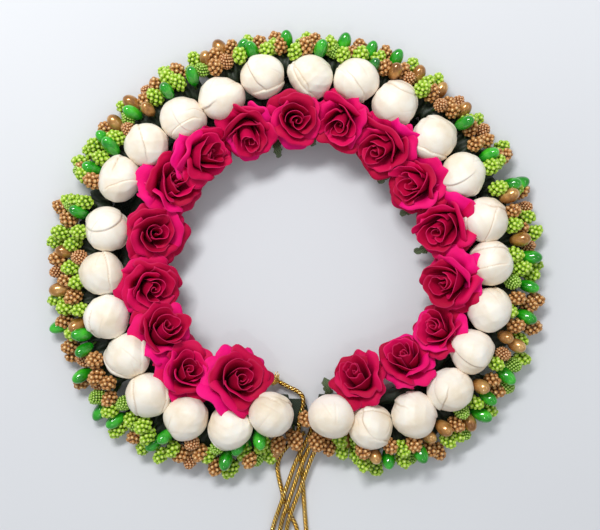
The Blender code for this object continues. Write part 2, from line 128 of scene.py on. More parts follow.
def unit(vectors):
    """The same directions with length 1."""
    return vectors / np.linalg.norm(vectors, axis=-1, keepdims=True)


def place_object(name, data):
    """Put a new object with this data into the scene."""
    thing = bpy.data.objects.new(name, data)
    bpy.context.scene.collection.objects.link(thing)
    return thing


def grid_faces(rows, columns, around):
    """Quads of a rows by columns grid, row by row; around joins the last column to the first."""
    row = np.arange(rows - 1)[:, None]
    column = np.arange(columns if around else columns - 1)[None, :]
    following = (column + 1) % columns
    corners = (row * columns + column, row * columns + following,
               (row + 1) * columns + following, (row + 1) * columns + column)
    return np.stack(corners, axis=-1).reshape(-1, 4)


def map_values(grids, across, up):
    """Two values for every point of the grids, which mesh_of_grids turns into a UV map."""
    return np.stack([np.broadcast_to(value, grids.shape[:-1]) for value in (across, up)], axis=-1)


def mesh_of_grids(name, grids, material, around=True, capped=True, parameters=None, smooth=True):
    """One mesh from grids of shape (grids, rows, columns, 3); parameters, if any, become its UV map."""
    count, rows, columns, _ = grids.shape
    points = grids.reshape(-1, 3)
    quads = grid_faces(rows, columns, around)
    offsets = np.arange(count)[:, None, None] * rows * columns
    faces = (quads[None] + offsets).reshape(-1, 4)
    loops = faces.ravel()
    sizes = np.full(len(faces), 4)
    if capped:
        ring = np.arange(columns)
        first = (ring[::-1][None] + offsets[:, 0])
        last = (ring[None] + offsets[:, 0] + (rows - 1) * columns)
        caps = np.concatenate([first, last]).reshape(-1, columns)
        loops = np.concatenate([loops, caps.ravel()])
        sizes = np.concatenate([sizes, np.full(len(caps), columns)])
    mesh = bpy.data.meshes.new(name)
    mesh.vertices.add(len(points))
    mesh.vertices.foreach_set("co", points.astype(np.float32).ravel())
    mesh.loops.add(len(loops))
    mesh.loops.foreach_set("vertex_index", loops.astype(np.int32))
    mesh.polygons.add(len(sizes))
    mesh.polygons.foreach_set("loop_start", (np.cumsum(sizes) - sizes).astype(np.int32))
    if parameters is not None:
        layer = mesh.uv_layers.new(name="surface")
        layer.data.foreach_set("uv", parameters.reshape(-1, 2)[loops].astype(np.float32).ravel())
    mesh.update(calc_edges=True)
    mesh.validate()
    mesh.polygons.foreach_set("use_smooth", np.full(len(mesh.polygons), smooth))
    mesh.materials.append(material)
    return place_object(name, mesh)


def tube_grid(centres, radii, columns):
    """Rings round a path: centre + radius (side cos + over sin), with side level and over square to it."""
    centres = np.asarray(centres, float)
    tangent = unit(np.gradient(centres, axis=0))
    side = unit(np.cross(tangent, np.where(np.abs(tangent[:, 2:3]) > 0.97, np.array([1.0, 0, 0]), UP)))
    over = np.cross(side, tangent)
    angle = -np.linspace(0, 2 * np.pi, columns, endpoint=False)[None, :, None]
    ring = side[:, None] * np.cos(angle) + over[:, None] * np.sin(angle)
    return centres[:, None] + ring * np.asarray(radii).reshape(-1, 1, 1)


def ball_grid(rows, columns, pole=0.05):
    """Unit ball as one grid from bottom to top; pole is the angle that its small flat ends span."""
    down = np.linspace(np.pi - pole, pole, rows)[:, None]
    turn = np.linspace(0, 2 * np.pi, columns, endpoint=False)[None, :]
    return np.stack([np.sin(down) * np.cos(turn), np.sin(down) * np.sin(turn), np.cos(down) + 0 * turn],
                    axis=-1)


def bent_line(start, knee, end, count):
    """Points (1 - t)^2 start + 2 t (1 - t) knee + t^2 end, for t from 0 to 1."""
    t = np.linspace(0, 1, count)[:, None]
    return (1 - t) ** 2 * start + 2 * t * (1 - t) * knee + t ** 2 * end


def smoothstep(value, low, high):
    """0 below low, 1 above high, and 3 s^2 - 2 s^3 between."""
    share = np.clip((value - low) / (high - low), 0, 1)
    return share * share * (3 - 2 * share)


def thicken(piece, name, thickness):
    """Give a sheet its thickness, half on each side."""
    shell = piece.modifiers.new(name, "SOLIDIFY")
    shell.thickness = thickness
    shell.offset = 0.0


def seat(piece, body, node=None):
    """Hand a piece to its body, in place of a plain node where there is one."""
    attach(piece, body)
    if node:
        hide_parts(node)


def bend_at_hinge(piece):
    """Bake the piece's place into its mesh."""
    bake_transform(piece)


# %% [markdown]
# Materials start from hex colours as a paint maker gives them.  Blender works in linear light, so one
# function turns the hex values.  One more adds any shader node with its settings and its links.

# %% Colours and nodes
def linear(hex_colour):
    """Linear red, green, blue and 1 from an sRGB hex value."""
    channels = np.array([int(hex_colour[i:i + 2], 16) / 255 for i in (1, 3, 5)])
    light = np.where(channels <= 0.04045, channels / 12.92, ((channels + 0.055) / 1.055) ** 2.4)
    return (*light.tolist(), 1.0)


def add_node(tree, kind, settings=None, values=None, links=None):
    """Add one node; settings are its properties, values its input values and links its inputs' sources."""
    node = tree.nodes.new(kind)
    for key, value in (settings or {}).items():
        setattr(node, key, value)
    for key, value in (values or {}).items():
        node.inputs[key].default_value = value
    for key, source in (links or {}).items():
        tree.links.new(source, node.inputs[key])
    return node


def new_material(name, **values):
    """A Principled material with these constants set on its own sockets, and its tree."""
    material = bpy.data.materials.new(name)
    material.use_nodes = True
    for key, value in values.items():
        material.node_tree.nodes["Principled BSDF"].inputs[key.replace("_", " ")].default_value = value
    return material, material.node_tree


def dress(material, colour, height=None, strength=0.35, distance=0.0):
    """Join the colour to the shader, and a bump where there is a height; distance is in metres."""
    tree = material.node_tree
    shader = tree.nodes["Principled BSDF"]
    tree.links.new(colour, shader.inputs["Base Color"])
    if height is not None:
        bump = add_node(tree, "ShaderNodeBump", values={"Strength": strength, "Distance": distance},
                        links={"Height": height})
        tree.links.new(bump.outputs["Normal"], shader.inputs["Normal"])
    return material


def colour_ramp(tree, factor, stops):
    """A ramp of (place, hex colour) stops driven by factor."""
    ramp = add_node(tree, "ShaderNodeValToRGB", links={"Fac": factor})
    elements = ramp.color_ramp.elements
    while len(elements) < len(stops):
        elements.new(0.5)
    for element, (place, hex_colour) in zip(elements, stops):
        element.position = place
        element.color = linear(hex_colour)
    return ramp.outputs["Color"]


def maths(tree, operation, *inputs):
    """One step of arithmetic; each input is a number or another node's socket."""
    numbers = {i: value for i, value in enumerate(inputs) if isinstance(value, float)}
    sockets = {i: value for i, value in enumerate(inputs) if not isinstance(value, float)}
    return add_node(tree, "ShaderNodeMath", {"operation": operation}, numbers, sockets).outputs[0]


def noise(tree, scale, detail, distortion=0.0):
    """Cloudy noise in the piece's own space; a scale of 1000 has features about 1 mm apart."""
    place = add_node(tree, "ShaderNodeTexCoord")
    values = {"Scale": scale, "Detail": detail, "Distortion": distortion}
    return add_node(tree, "ShaderNodeTexNoise", values=values,
                    links={"Vector": place.outputs["Object"]}).outputs["Fac"]


def surface_map(tree):
    """The piece's own UV map, across and up."""
    surface = add_node(tree, "ShaderNodeUVMap", {"uv_map": "surface"})
    split = add_node(tree, "ShaderNodeSeparateXYZ", links={"Vector": surface.outputs["UV"]})
    return split.outputs["X"], split.outputs["Y"]


def map_range(tree, value, low, high, to_low=0.0, to_high=1.0):
    """Carry low..high over to to_low..to_high, held at both ends."""
    limits = {"From Min": low, "From Max": high, "To Min": to_low, "To Max": to_high}
    return add_node(tree, "ShaderNodeMapRange", values=limits, links={"Value": value}).outputs[0]


def cover(tree, share, colour, hex_colour):
    """The colour with a share of another one over it."""
    return add_node(tree, "ShaderNodeMix", {"data_type": "RGBA"}, {7: linear(hex_colour)},
                    {0: share, 6: colour}).outputs[2]


# %% [markdown]
# ## Materials
# The roses are dyed mulberry paper: matt, soft, with long fibres.  The cut edges are paler, partly where the
# white heart of the paper shows and partly as a painted highlight on the rolled rims.  Inner rings are painted
# darker as shade, outer rings brighter as painted light, and the foot of each petal dark as painted shade.
# The edge comes from the petal's own UV map, so that it follows every petal.

# %% Dyed mulberry paper
def mulberry_paper():
    """Matt dyed paper, hardly shiny; fibres about 0.6 mm apart; paler within 4% of a cut edge, in part as a
    painted highlight.
    """
    material, tree = new_material("dyed_mulberry_paper", Roughness=0.62, Specular_IOR_Level=0.14)
    # The map's whole part, 0 to 9, is the petal's level from dark crimson to bright magenta, and its fraction
    # runs across the petal; the level is random within a range set by the ring, as painted shade and light.
    across, up = surface_map(tree)
    tone_and_light_level = maths(tree, "DIVIDE", maths(tree, "FLOOR", across), 9.0)
    wander = maths(tree, "MULTIPLY_ADD", noise(tree, 190.0, 3.0), 0.5, -0.25)
    dye_and_painted_light = colour_ramp(tree, maths(tree, "ADD", tone_and_light_level, wander),
                      ((0.0, "#AE0335"), (0.35, "#C20441"), (0.65, "#DC0758"), (1.0, "#F60C80")))
    # The cut edges are made paler: in part the paper's white heart, in part a painted highlight on the rolled
    # rims.
    aside = maths(tree, "ABSOLUTE", maths(tree, "SUBTRACT", maths(tree, "FRACT", across), 0.5))
    edge = maths(tree, "MAXIMUM", map_range(tree, aside, 0.46, 0.49), map_range(tree, up, 0.96, 1.0))
    # Painted shade darkens the foot of each petal to nearly black red.
    foot_painted_shade = cover(tree, map_range(tree, up, 0.15, 0.85, 0.95, 0.0), dye_and_painted_light, "#4E0016")
    edge_paled_and_lit = cover(tree, maths(tree, "MULTIPLY", edge, 0.22), foot_painted_shade, "#FF4F9A")
    return dress(material, edge_paled_and_lit, noise(tree, 1700.0, 4.0, 1.2), 0.35, 0.00015)


rose_paper = mulberry_paper()

# %% [markdown]
# The buds are sheets of sola wood, the white pith of a marsh reed, rolled round a ball.  Sola is matt and
# faintly translucent, with soft long pores; a pinkish painted shade lies in patches towards the neck.


# %% Sola wood
def sola_wood():
    """Matt ivory pith: a little light passes under its skin; painted shade browns the grooves at the sheets' edges
    and the creases, and lies pink in patches towards the neck.
    """
    material, tree = new_material("sola_wood_sheet", Roughness=0.48, IOR=1.45, Subsurface_Weight=0.10,
                                  Subsurface_Scale=0.0008, Subsurface_Radius=(1.0, 0.75, 0.55),
                                  Coat_Weight=0.04)
    # The map holds the painted shade of the sheets' edge grooves and creases across, and the height up the bud
    # along.
    groove_shade, up = surface_map(tree)
    ivory = colour_ramp(tree, noise(tree, 130.0, 4.0),
                        ((0.28, "#EBDCC2"), (0.42, "#F6EAD6"), (0.55, "#FBF3E4"), (0.75, "#FEFAF0")))
    # Painted shade, tinted pink, lies in patches and is strongest towards the neck.
    patch = map_range(tree, noise(tree, 60.0, 1.0), 0.50, 0.72, 0.0, 0.45)
    neck_pink_shade = maths(tree, "MULTIPLY", patch, map_range(tree, up, 0.1, 0.75, 1.0, 0.0))
    pink_shaded = cover(tree, neck_pink_shade, ivory, "#E7A9AE")
    # Painted shade: the grooves at the sheets' edges and the creases are browned.
    groove_shaded = cover(tree, maths(tree, "MULTIPLY", groove_shade, 0.55), pink_shaded, "#B9946C")
    return dress(material, groove_shaded, noise(tree, 420.0, 5.0, 0.6), 0.35, 0.0003)


bud_sola = sola_wood()

# %% [markdown]
# The stamens are sold by the bunch.  Each is a seed or a plastic drop dipped in lacquer, so they are
# glossy: lime and copper berries, green and gold drops, and heads rolled in coloured sugar grain.


# %% Lacquers
def lacquer(name, shade, middle, pale, roughness, metallic=0.0, coat=0.6, scale=700.0):
    """Dipped lacquer: its colour wanders between three shades."""
    material, tree = new_material(name, Roughness=roughness, Metallic=metallic, Coat_Weight=coat,
                                  Coat_Roughness=0.1)
    return dress(material, colour_ramp(tree, noise(tree, scale, 2.0),
                                       ((0.34, shade), (0.52, middle), (0.72, pale))))


def grain_lacquer(name, shade, middle, pale, roughness, metallic=0.0):
    """Grain colour along the map: painted shade low on each grain and between grains, and a painted highlight at
    its tip.
    """
    material, tree = new_material(name, Roughness=roughness, Metallic=metallic, Coat_Weight=0.3,
                                  Coat_Roughness=0.2)
    return dress(material, colour_ramp(tree, surface_map(tree)[1],
                                       ((0.35, shade), (0.60, middle), (0.86, middle), (0.965, pale))))


# In each grain lacquer the first colour is painted shade and the last a painted highlight.
lime_berry = grain_lacquer("lime_lacquer_berry", "#528010", "#A1C82A", "#DDEE84", 0.40)
copper_berry = grain_lacquer("copper_pearl_berry", "#704018", "#BB8042", "#ECC488", 0.38, 0.15)
green_sugar = grain_lacquer("green_sugar_grain", "#3F6A10", "#8CBA34", "#D6EA8C", 0.45)
copper_sugar = grain_lacquer("copper_sugar_grain", "#7A4522", "#C48650", "#F2CFA2", 0.45, 0.1)
green_drop = lacquer("green_gloss_lacquer", "#0C780A", "#1C9C12", "#46C42C", 0.14, coat=0.9, scale=250.0)
dark_drop = lacquer("dark_green_gloss_lacquer", "#063F0C", "#0B5E14", "#1D8A22", 0.12, coat=1.0, scale=250.0)
gold_drop = lacquer("gold_pearl_lacquer", "#8A5822", "#BC8440", "#E2B672", 0.26, 0.45, 0.9, scale=250.0)
stem_wire = lacquer("paper_wrapped_stem_wire", "#22380E", "#36561A", "#5C7C2C", 0.6, coat=0.0)

# %% [markdown]
# Floral tape is a crepe paper soaked in wax, wound at a slant.  The backing is a woven ribbon in the same
# dark green.  Both are nearly black in the shade of the flowers.


# %% Tape, ribbon and mesh leaf
def floral_tape():
    """Waxed crepe, dark green: fine creases across the wire, about 0.45 mm apart; painted shade in their hollows
    and painted light on their ridges.
    """
    material, tree = new_material("waxed_floral_tape", Roughness=0.55)
    crepe = noise(tree, 2200.0, 3.0)
    # The crepe's height also sets its colour: painted shade in the hollows, painted light on the ridges.
    colour = colour_ramp(tree, crepe, ((0.3, "#0E160B"), (0.55, "#1C2A16"), (0.8, "#31452A")))
    return dress(material, colour, crepe, 0.5, 0.0002)


def woven(name, dark, light, threads_across, threads_along, roughness):
    """Plain weave on the UV map: two sets of sine threads, the higher one on top at each crossing; its colour runs
    from painted shade in the hollows to painted light on the raised threads.
    """
    material, tree = new_material(name, Roughness=roughness, Sheen_Weight=0.15)
    waves = [maths(tree, "SINE", maths(tree, "MULTIPLY", place, threads * math.pi))
             for place, threads in zip(surface_map(tree), (threads_across, threads_along))]
    height = maths(tree, "MULTIPLY_ADD", maths(tree, "MULTIPLY", *waves), 0.5, 0.5)
    # The weave's height also sets its colour: painted shade where threads dip, painted light where they rise.
    return dress(material, colour_ramp(tree, height, ((0.1, dark), (0.9, light))), height, 0.7, 0.0002)


tape = floral_tape()
# The ribbon's threads lie 0.45 mm apart over a band 10 mm wide and about 290 mm round.
ribbon = woven("woven_green_ribbon", "#0E170E", "#2C3F2A", 22, 640, 0.7)
leaf_mesh = woven("stiffened_leaf_net", "#141C0E", "#6E8452", 8, 13, 0.7)


# %% [markdown]
# The tie cords are metallic film wound on thread and laid up as a rope.  The film is a mirror-bright gold,
# but creased; its short flashes of glint are painted as pale patches, and the dark seams between the strands
# are painted shade, as bronze on every second strand.

# %% Metallic film cord
def metallic_film():
    """Gold film, metallic 1, with painted glints, painted shade as bronze on every second strand, and fine
    windings 0.3 mm apart.
    """
    material, tree = new_material("gold_film_thread", Metallic=1.0, Roughness=0.27)
    # The map's whole part across is 0 on a gold strand and 1 on a strand painted bronze as shade; up is
    # millimetres of cord.
    across, gone = surface_map(tree)
    winding = maths(tree, "SINE", maths(tree, "MULTIPLY", gone, 2 * math.pi / 0.3))
    # Pale patches in the gold are painted glints.
    gold = colour_ramp(tree, noise(tree, 1500.0, 2.0),
                       ((0.30, "#DFAA38"), (0.50, "#FFD968"), (0.70, "#FFF6C4")))
    strand_painted_shade = cover(tree, maths(tree, "GREATER_THAN", across, 0.999), gold, "#855410")
    return dress(material, strand_painted_shade, winding, 0.35, 0.00006)


cord_film = metallic_film()

# %% [markdown]
# ## Camera
# The camera looks straight down, as over a table, and frames the ring with its opening towards the bottom
# of the frame.

# %% Camera
VIEW_WIDTH = 175.2 * MM       # width that the frame covers on the flowers' level
VIEW_LEVEL = 9.0 * MM
CAMERA_HEIGHT = 0.46
camera_data = bpy.data.cameras.new("overhead_camera")
camera_data.sensor_width = 36.0
camera_data.lens = 36.0 * (CAMERA_HEIGHT - VIEW_LEVEL) / VIEW_WIDTH
camera_data.clip_start = 0.01
camera = place_object("overhead_camera", camera_data)
camera.location = (ring_middle[0] + 1.2 * MM, ring_middle[1] + 1.5 * MM, CAMERA_HEIGHT)
bpy.context.scene.camera = camera
bpy.context.scene.view_settings.view_transform = "Standard"
print("lens", round(camera_data.lens, 1))

# %% [markdown]
# ## Tie cords
# A limp cord lies where it was dropped.  Its route is a list of points, in millimetres from
# the middle of the opening: across, out of the ring, and above the table.  It lies on the table except
# where it rises over another cord or over the ribbon.  A smooth curve runs through them.  The rope itself
# is six strands that wind round that curve, every second one painted bronze as shade between the strands.

# %% Cord routes
CORD_RADIUS = 0.7 * MM
OPENING_WIRE = float(path_distance(0.0, WIRE_PATH))
CROSSING_ROUTE = (
    (2.6, 9.5, 0.9), (0.4, 10.8, 0.85), (-2.2, 13.1, 0.85), (-4.5, 16.0, 0.85), (-5.5, 19.5, 0.85),
    (-5.0, 23.3, 0.85), (-4.1, 26.9, 0.85), (-3.6, 29.5, 0.85), (-1.6, 33.9, 0.85),
    (0.2, 37.9, 0.85), (0.9, 44.9, 0.85), (0.6, 54.9, 0.85), (0.0, 64.9, 0.85), (-0.4, 72.4, 0.85),
    (-0.5, 76.9, 0.85), (0.7, 79.7, 0.85), (3.4, 80.8, 0.85), (6.1, 79.7, 0.85), (7.3, 76.9, 0.85),
    (7.0, 68.9, 0.85), (5.4, 57.9, 0.85), (4.0, 46.9, 0.85), (2.9, 36.9, 0.85), (2.3, 28.9, 0.85),
    (1.9, 21.9, 0.85), (1.4, 16.9, 0.85), (1.0, 14.1, 1.3), (0.8, 12.1, 2.2), (0.7, 10.3, 2.65),
    (0.8, 7.9, 2.55), (1.1, 4.5, 2.3), (2.1, 1.1, 2.3), (1.9, -1.5, 2.3), (0.3, -3.1, 2.3),
    (-2.0, -4.2, 2.2), (-4.8, -5.7, 2.05),
)
LOOPED_ROUTE = (
    (5.5, 3.5, 2.3), (5.2, 6.1, 2.35), (4.2, 9.3, 2.6), (2.5, 12.9, 2.75), (0.9, 15.9, 2.75),
    (-0.6, 19.3, 2.75), (-1.7, 22.3, 2.75), (-3.1, 26.3, 2.75), (-4.3, 29.9, 2.7),
    (-5.7, 33.9, 1.6), (-6.9, 37.9, 0.85), (-8.4, 43.9, 0.85), (-10.2, 50.9, 0.85),
    (-12.6, 57.9, 0.85), (-14.5, 63.5, 0.85), (-15.0, 67.9, 0.85), (-13.9, 70.6, 0.85),
    (-11.2, 71.7, 0.85), (-8.5, 70.6, 0.85), (-7.4, 67.9, 0.85), (-7.5, 62.9, 0.85),
    (-7.0, 55.9, 0.85), (-6.2, 47.9, 0.85), (-5.2, 40.9, 0.85), (-4.6, 37.5, 0.95),
    (-3.6, 33.5, 2.3), (-2.3, 29.9, 2.75), (-1.1, 26.5, 2.75), (0.3, 22.5, 2.75), (1.6, 19.1, 2.75),
    (2.9, 15.9, 2.75), (4.5, 12.8, 2.75), (6.2, 9.3, 2.6), (7.3, 6.1, 2.35), (7.6, 3.5, 2.3),
)
SINGLE_ROUTE = (
    (9.8, 3.7, 2.3), (9.5, 6.1, 2.35), (8.3, 9.3, 2.6), (6.6, 12.7, 2.75), (5.0, 15.9, 2.75),
    (3.6, 19.3, 2.75), (2.3, 22.9, 2.75), (1.0, 26.5, 2.75), (-0.4, 30.1, 2.75), (-1.7, 33.7, 2.7),
    (-2.6, 37.1, 1.6), (-3.0, 40.5, 0.9), (-3.2, 46.9, 0.85), (-3.3, 53.9, 0.85),
    (-3.7, 60.9, 0.85), (-3.9, 66.9, 0.85), (-3.6, 72.9, 0.85),
)


def smooth_path(route, step):
    """Catmull-Rom curve through the route, then points at equal steps along it, in metres."""
    own = (np.array(route) * (1, -1, 1)) * MM + ring_middle - (0, OPENING_WIRE, 0)
    padded = np.vstack([2 * own[0] - own[1], own, 2 * own[-1] - own[-2]])
    a, b, c, d = (padded[i:len(padded) - 3 + i, None] for i in range(4))
    t = np.linspace(0, 1, 24, endpoint=False)[None, :, None]
    curve = 0.5 * (2 * b + (c - a) * t + (2 * a - 5 * b + 4 * c - d) * t ** 2
                   + (3 * b - a - 3 * c + d) * t ** 3)
    curve = np.vstack([curve.reshape(-1, 3), own[-1]])
    gone = np.concatenate([[0], np.cumsum(np.linalg.norm(np.diff(curve, axis=0), axis=1))])
    even = np.linspace(0, gone[-1], max(2, round(gone[-1] / step)))
    return np.stack([np.interp(even, gone, curve[:, i]) for i in range(3)], axis=1), gone[-1]


# %% Rope of six strands
STRANDS = 6
STRAND_SIDES = 6
LAY_LENGTH = 3.3 * MM         # one full turn of a strand round the cord
STRAND_RADIUS = 0.27 * MM
PATH_STEP = 0.36 * MM


def rope(name, route):
    """Strand k is a tube round path + offset (side cos a + over sin a), a = 2 pi (s / lay + k / strands)."""
    path, length = smooth_path(route, PATH_STEP)
    gone = np.linspace(0, length, len(path))
    strand = np.arange(STRANDS)[:, None, None]
    angle = 2 * np.pi * (gone[:, None] / LAY_LENGTH + strand / STRANDS)
    circle = tube_grid(path, np.ones(len(path)), 4)
    side, over = circle[:, 0] - path, path - circle[:, 1]
    centres = path + (CORD_RADIUS - STRAND_RADIUS) * (side * np.cos(angle) + over * np.sin(angle))
    grids = np.stack([tube_grid(line, np.full(len(path), STRAND_RADIUS), STRAND_SIDES) for line in centres])
    # Every second strand gets 1 across, which the film paints bronze as shade between the strands.
    across = np.arange(STRAND_SIDES) / (STRAND_SIDES + 1) + strand % 2
    piece = mesh_of_grids(name, grids, cord_film, parameters=map_values(grids, across, gone[:, None] / MM))
    print(name, "length", round(length / MM, 1), "mm")
    return piece, path, length


def whisker_bunch(name, root, direction, count, length, radius, seed):
    """Loose threads of a cut end: each leaves root at its own slant, curls, and tapers to half."""
    random = np.random.default_rng(seed)
    direction = direction / np.linalg.norm(direction)
    direction = unit(direction)
    side = np.cross(direction, UP)
    steps = np.linspace(0, 1, 9)
    slant = random.uniform(-0.9, 0.9, count)
    lift = random.uniform(0.05, 0.75, count)
    reach = length * random.uniform(0.6, 1.0, count)
    curl = random.uniform(-0.5, 0.5, count)
    heading = slant[:, None] + curl[:, None] * steps
    forward = direction * np.cos(heading)[..., None] + side * np.sin(heading)[..., None]
    centres = root + forward * (reach[:, None] * steps)[..., None]
    centres[..., 2] += lift[:, None] * reach[:, None] * np.sin(steps * 1.9)
    centres[..., 2] = np.maximum(centres[..., 2], radius * 1.2)
    grids = np.stack([tube_grid(line, radius * (1 - 0.5 * steps), 5) for line in centres])
    return mesh_of_grids(name, grids, cord_film, parameters=map_values(grids, 0.0, 3 * steps[:, None]))


# %% Lay the cords
crossing, crossing_path, crossing_length = rope("crossing_cord_rope", CROSSING_ROUTE)
looped, looped_path, looped_length = rope("looped_cord_rope", LOOPED_ROUTE)
single, single_path, single_length = rope("single_cord_rope", SINGLE_ROUTE)
frayed = whisker_bunch("frayed_cord_end", crossing_path[-1], crossing_path[-1] - crossing_path[-8], 40,
                       3.8 * MM, 0.19 * MM, 5)
seat(crossing, "right_arm", "crossing_tie_cord")
seat(looped, "right_arm", "looped_tie_cord")
seat(single, "right_arm", "single_tie_cord")
seat(frayed, "right_arm")

# %% [markdown]
# An overhand knot keeps the end of the single cord from running.  Its line is a trefoil, the closed curve
# that such a knot follows, with a tube a little thinner than the cord along it.


# %% Overhand knot
def overhand_knot(name, middle, size):
    """Trefoil (sin t + 2 sin 2t, cos t - 2 cos 2t, -1.3 sin 3t) scaled to size and laid flat on the table."""
    t = np.linspace(0, 2 * np.pi, 90)
    line = np.stack([np.sin(t) + 2 * np.sin(2 * t), np.cos(t) - 2 * np.cos(2 * t), -1.3 * np.sin(3 * t)],
                    axis=1)
    line = line / 3.0 * (size - CORD_RADIUS * 0.8) + middle
    grids = tube_grid(line, np.full(len(t), CORD_RADIUS * 0.62), 8)[None]
    return mesh_of_grids(name, grids, cord_film, parameters=map_values(grids, 0.0, 3 * t[:, None]))


knot_low, knot_high = (np.array(corner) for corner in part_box("single_cord_knot"))
knot = overhand_knot("single_cord_overhand_knot", (knot_low + knot_high) / 2, 1.5 * MM)
seat(knot, "right_arm", "single_cord_knot")


# %% [markdown]
# ## Where each flower stands
# The plain model's flowers say where the detailed ones go.  A flower's foot is the lowest end of its stem.
# Its head is the middle of the points far from that foot.


# %% Read the flowers' places
def node_points(node):
    """Points of a plain node, one row each."""
    mesh = frame["nodes"][node].data
    flat = np.empty(len(mesh.vertices) * 3, np.float32)
    mesh.vertices.foreach_get("co", flat)
    return flat.reshape(-1, 3).astype(float)


def foot_and_head(node):
    """Foot: mean of the points by the lowest one.  Head: the points more than half way out from it."""
    points = node_points(node)
    lowest = points[points[:, 2].argmin()]
    foot = points[np.linalg.norm(points - lowest, axis=1) < 1.7 * MM].mean(axis=0)
    away = np.linalg.norm(points - foot, axis=1)
    return foot, points[away > 0.5 * away.max()]


def flower_axes(direction, reference):
    """Rows: two directions across a flower and its own axis."""
    axis = unit(direction)
    side = unit(np.cross(axis, reference))
    return np.stack([side, np.cross(axis, side), axis])


def bound_stalk(name, body, line, width, material):
    """Bound stem of one flower along a line."""
    seat(mesh_of_grids(name + "_stem", tube_grid(line, width, 10)[None], material), body)


# %% [markdown]
# ## Sola buds
# A real bud is a ball with three or four sheets of sola wrapped round it.  Each sheet ends in a curved edge
# that stands a little proud of the one below.  Here the ball is a grid of points, and each sheet lifts the
# part of the ball that lies on its side of a tilted plane.  At the stem the sheets are gathered and
# twisted.


# %% Bud surface
BUD_ROWS, BUD_COLUMNS = 80, 104
SHEET_STEP = 0.065            # how far a sheet's edge stands up, as a share of the bud's radius
SHEETS = 3


def bud_grid(seed, radius):
    """Ball r = R (1 + waves + sheets): each sheet steps up over its edge and thins away behind it."""
    random = np.random.default_rng(seed)
    down = np.linspace(0.02, np.pi - 0.02, BUD_ROWS)[:, None]
    turn = np.linspace(0, 2 * np.pi, BUD_COLUMNS, endpoint=False)[None, :]
    direction = ball_grid(BUD_ROWS, BUD_COLUMNS, 0.02)[::-1]
    size = 0.98 * np.ones((BUD_ROWS, BUD_COLUMNS))
    groove_shade = np.zeros_like(size)
    for _ in range(6):
        wave = unit(random.normal(size=3))
        size += 0.017 * np.sin(direction @ wave * random.uniform(2.0, 4.5) + random.uniform(0, 6.3))
    for _ in range(5):
        wave = unit(random.normal(size=3))
        fold = direction @ wave * random.uniform(5.5, 8.5) + random.uniform(0, 6.3)
        size += 0.0075 * (1 - 2 * np.abs(np.sin(fold))) * smoothstep(direction @ np.roll(wave, 1), -0.5, 0.9)
    for sheet in range(SHEETS):
        normal = unit(random.normal(size=3) * (1, 1, 0.8))
        bow = direction @ unit(random.normal(size=3))
        place = direction @ normal - random.uniform(0.15, 0.78)
        place = place + 0.08 * np.sin(2.4 * bow + sheet) + 0.012 * np.sin(14 * bow)
        # The edge stands free along a part of its way only, and is pressed flat along the rest.
        free = smoothstep(bow, -0.20, 0.60)
        size += SHEET_STEP * free * (smoothstep(place, 0.0, 0.045) - smoothstep(place, 0.045, 0.75))
        groove = smoothstep(place, -0.05, -0.005) * (1 - smoothstep(place, 0.0, 0.02))
        size -= 0.010 * groove * free
        # The groove is marked for painted shade in the map.
        groove_shade = np.maximum(groove_shade, groove * free ** 2)
    # Creases run from the neck a part of the way up, where the damp sheet was gathered.
    gather = smoothstep(down, 1.25, 2.7)
    size += 0.020 * np.sin(8 * turn + 2.4 * down + random.uniform(0, 6)) * gather
    for _ in range(5):
        middle = unit(random.normal(size=3) * (1, 1, 0.6))
        across = unit(np.cross(middle, random.normal(size=3)))
        line = np.exp(-((direction @ across) / 0.030) ** 2) * smoothstep(direction @ middle, 0.80, 0.98)
        size -= 0.016 * line
        # The crease is marked for a little painted shade as well.
        groove_shade = np.maximum(groove_shade, 0.3 * line)
    points = direction * (size * radius)[..., None]
    neck = smoothstep(down, 2.45, np.pi)
    points[..., :2] *= (1 + 0.22 * np.sin(7 * turn + 5 * down) * neck)[..., None]
    points[..., 2] -= neck * 0.16 * radius
    return points, map_values(points, groove_shade, 1 - down / np.pi)


def ball_through(points):
    """Middle and radius of the ball nearest to points: |p|^2 = 2 c.p + (r^2 - |c|^2) by least squares."""
    table = np.column_stack([2 * points, np.ones(len(points))])
    answer = np.linalg.lstsq(table, (points ** 2).sum(axis=1), rcond=None)[0]
    return answer[:3], math.sqrt(answer[3] + answer[:3] @ answer[:3])


# How far each bud is pressed to the right and to the back by its neighbours, in millimetres.
BUD_SHIFTS = (
    (0, 0), (0, -1), (0, 0), (0, -0.3), (1.6, 0.4), (0, -0.6), (0, -1), (0, -1.4), (-1.3, -0.2), (-1, -1.1),
    (-0.2, -2), (-0.3, -2.4), (-0.9, 0.3), (0, 0), (0.5, 1.5), (-0.4, 0), (0.5, -2), (0.8, -2.4), (1.5, -2.7),
    (0.4, -2.4), (0.6, -2.6), (-1, -2), (-1, -1.8), (-1.6, -0.8), (-1.1, -1.3), (-0.2, -0.1),
)


def sola_bud(node, seed, shift):
    """Bud with its gathered neck, and a bound stem down to the wire."""
    foot, head_points = foot_and_head(node)
    middle, radius = ball_through(head_points)
    middle = middle + np.array([*shift, 0.0]) * MM
    direction = middle - foot
    axes = flower_axes(direction, along(turn_of(middle)))
    ball, parameters = bud_grid(seed, radius * 1.05)
    name = node.replace("sola_bud", "rolled_sola_bud")
    bud = mesh_of_grids(name, (ball[::-1] @ axes + middle)[None], bud_sola, parameters=parameters[::-1][None])
    seat(bud, body_of_node[node], node)
    steps = np.linspace(0, 1, 14)
    width = 0.7 * MM + 0.9 * MM * smoothstep(steps, 0.3, 1.0) + 0.05 * MM * np.sin(steps * 60)
    bound_stalk(name, body_of_node[node], foot + direction * steps[:, None] * 0.42, width, tape)


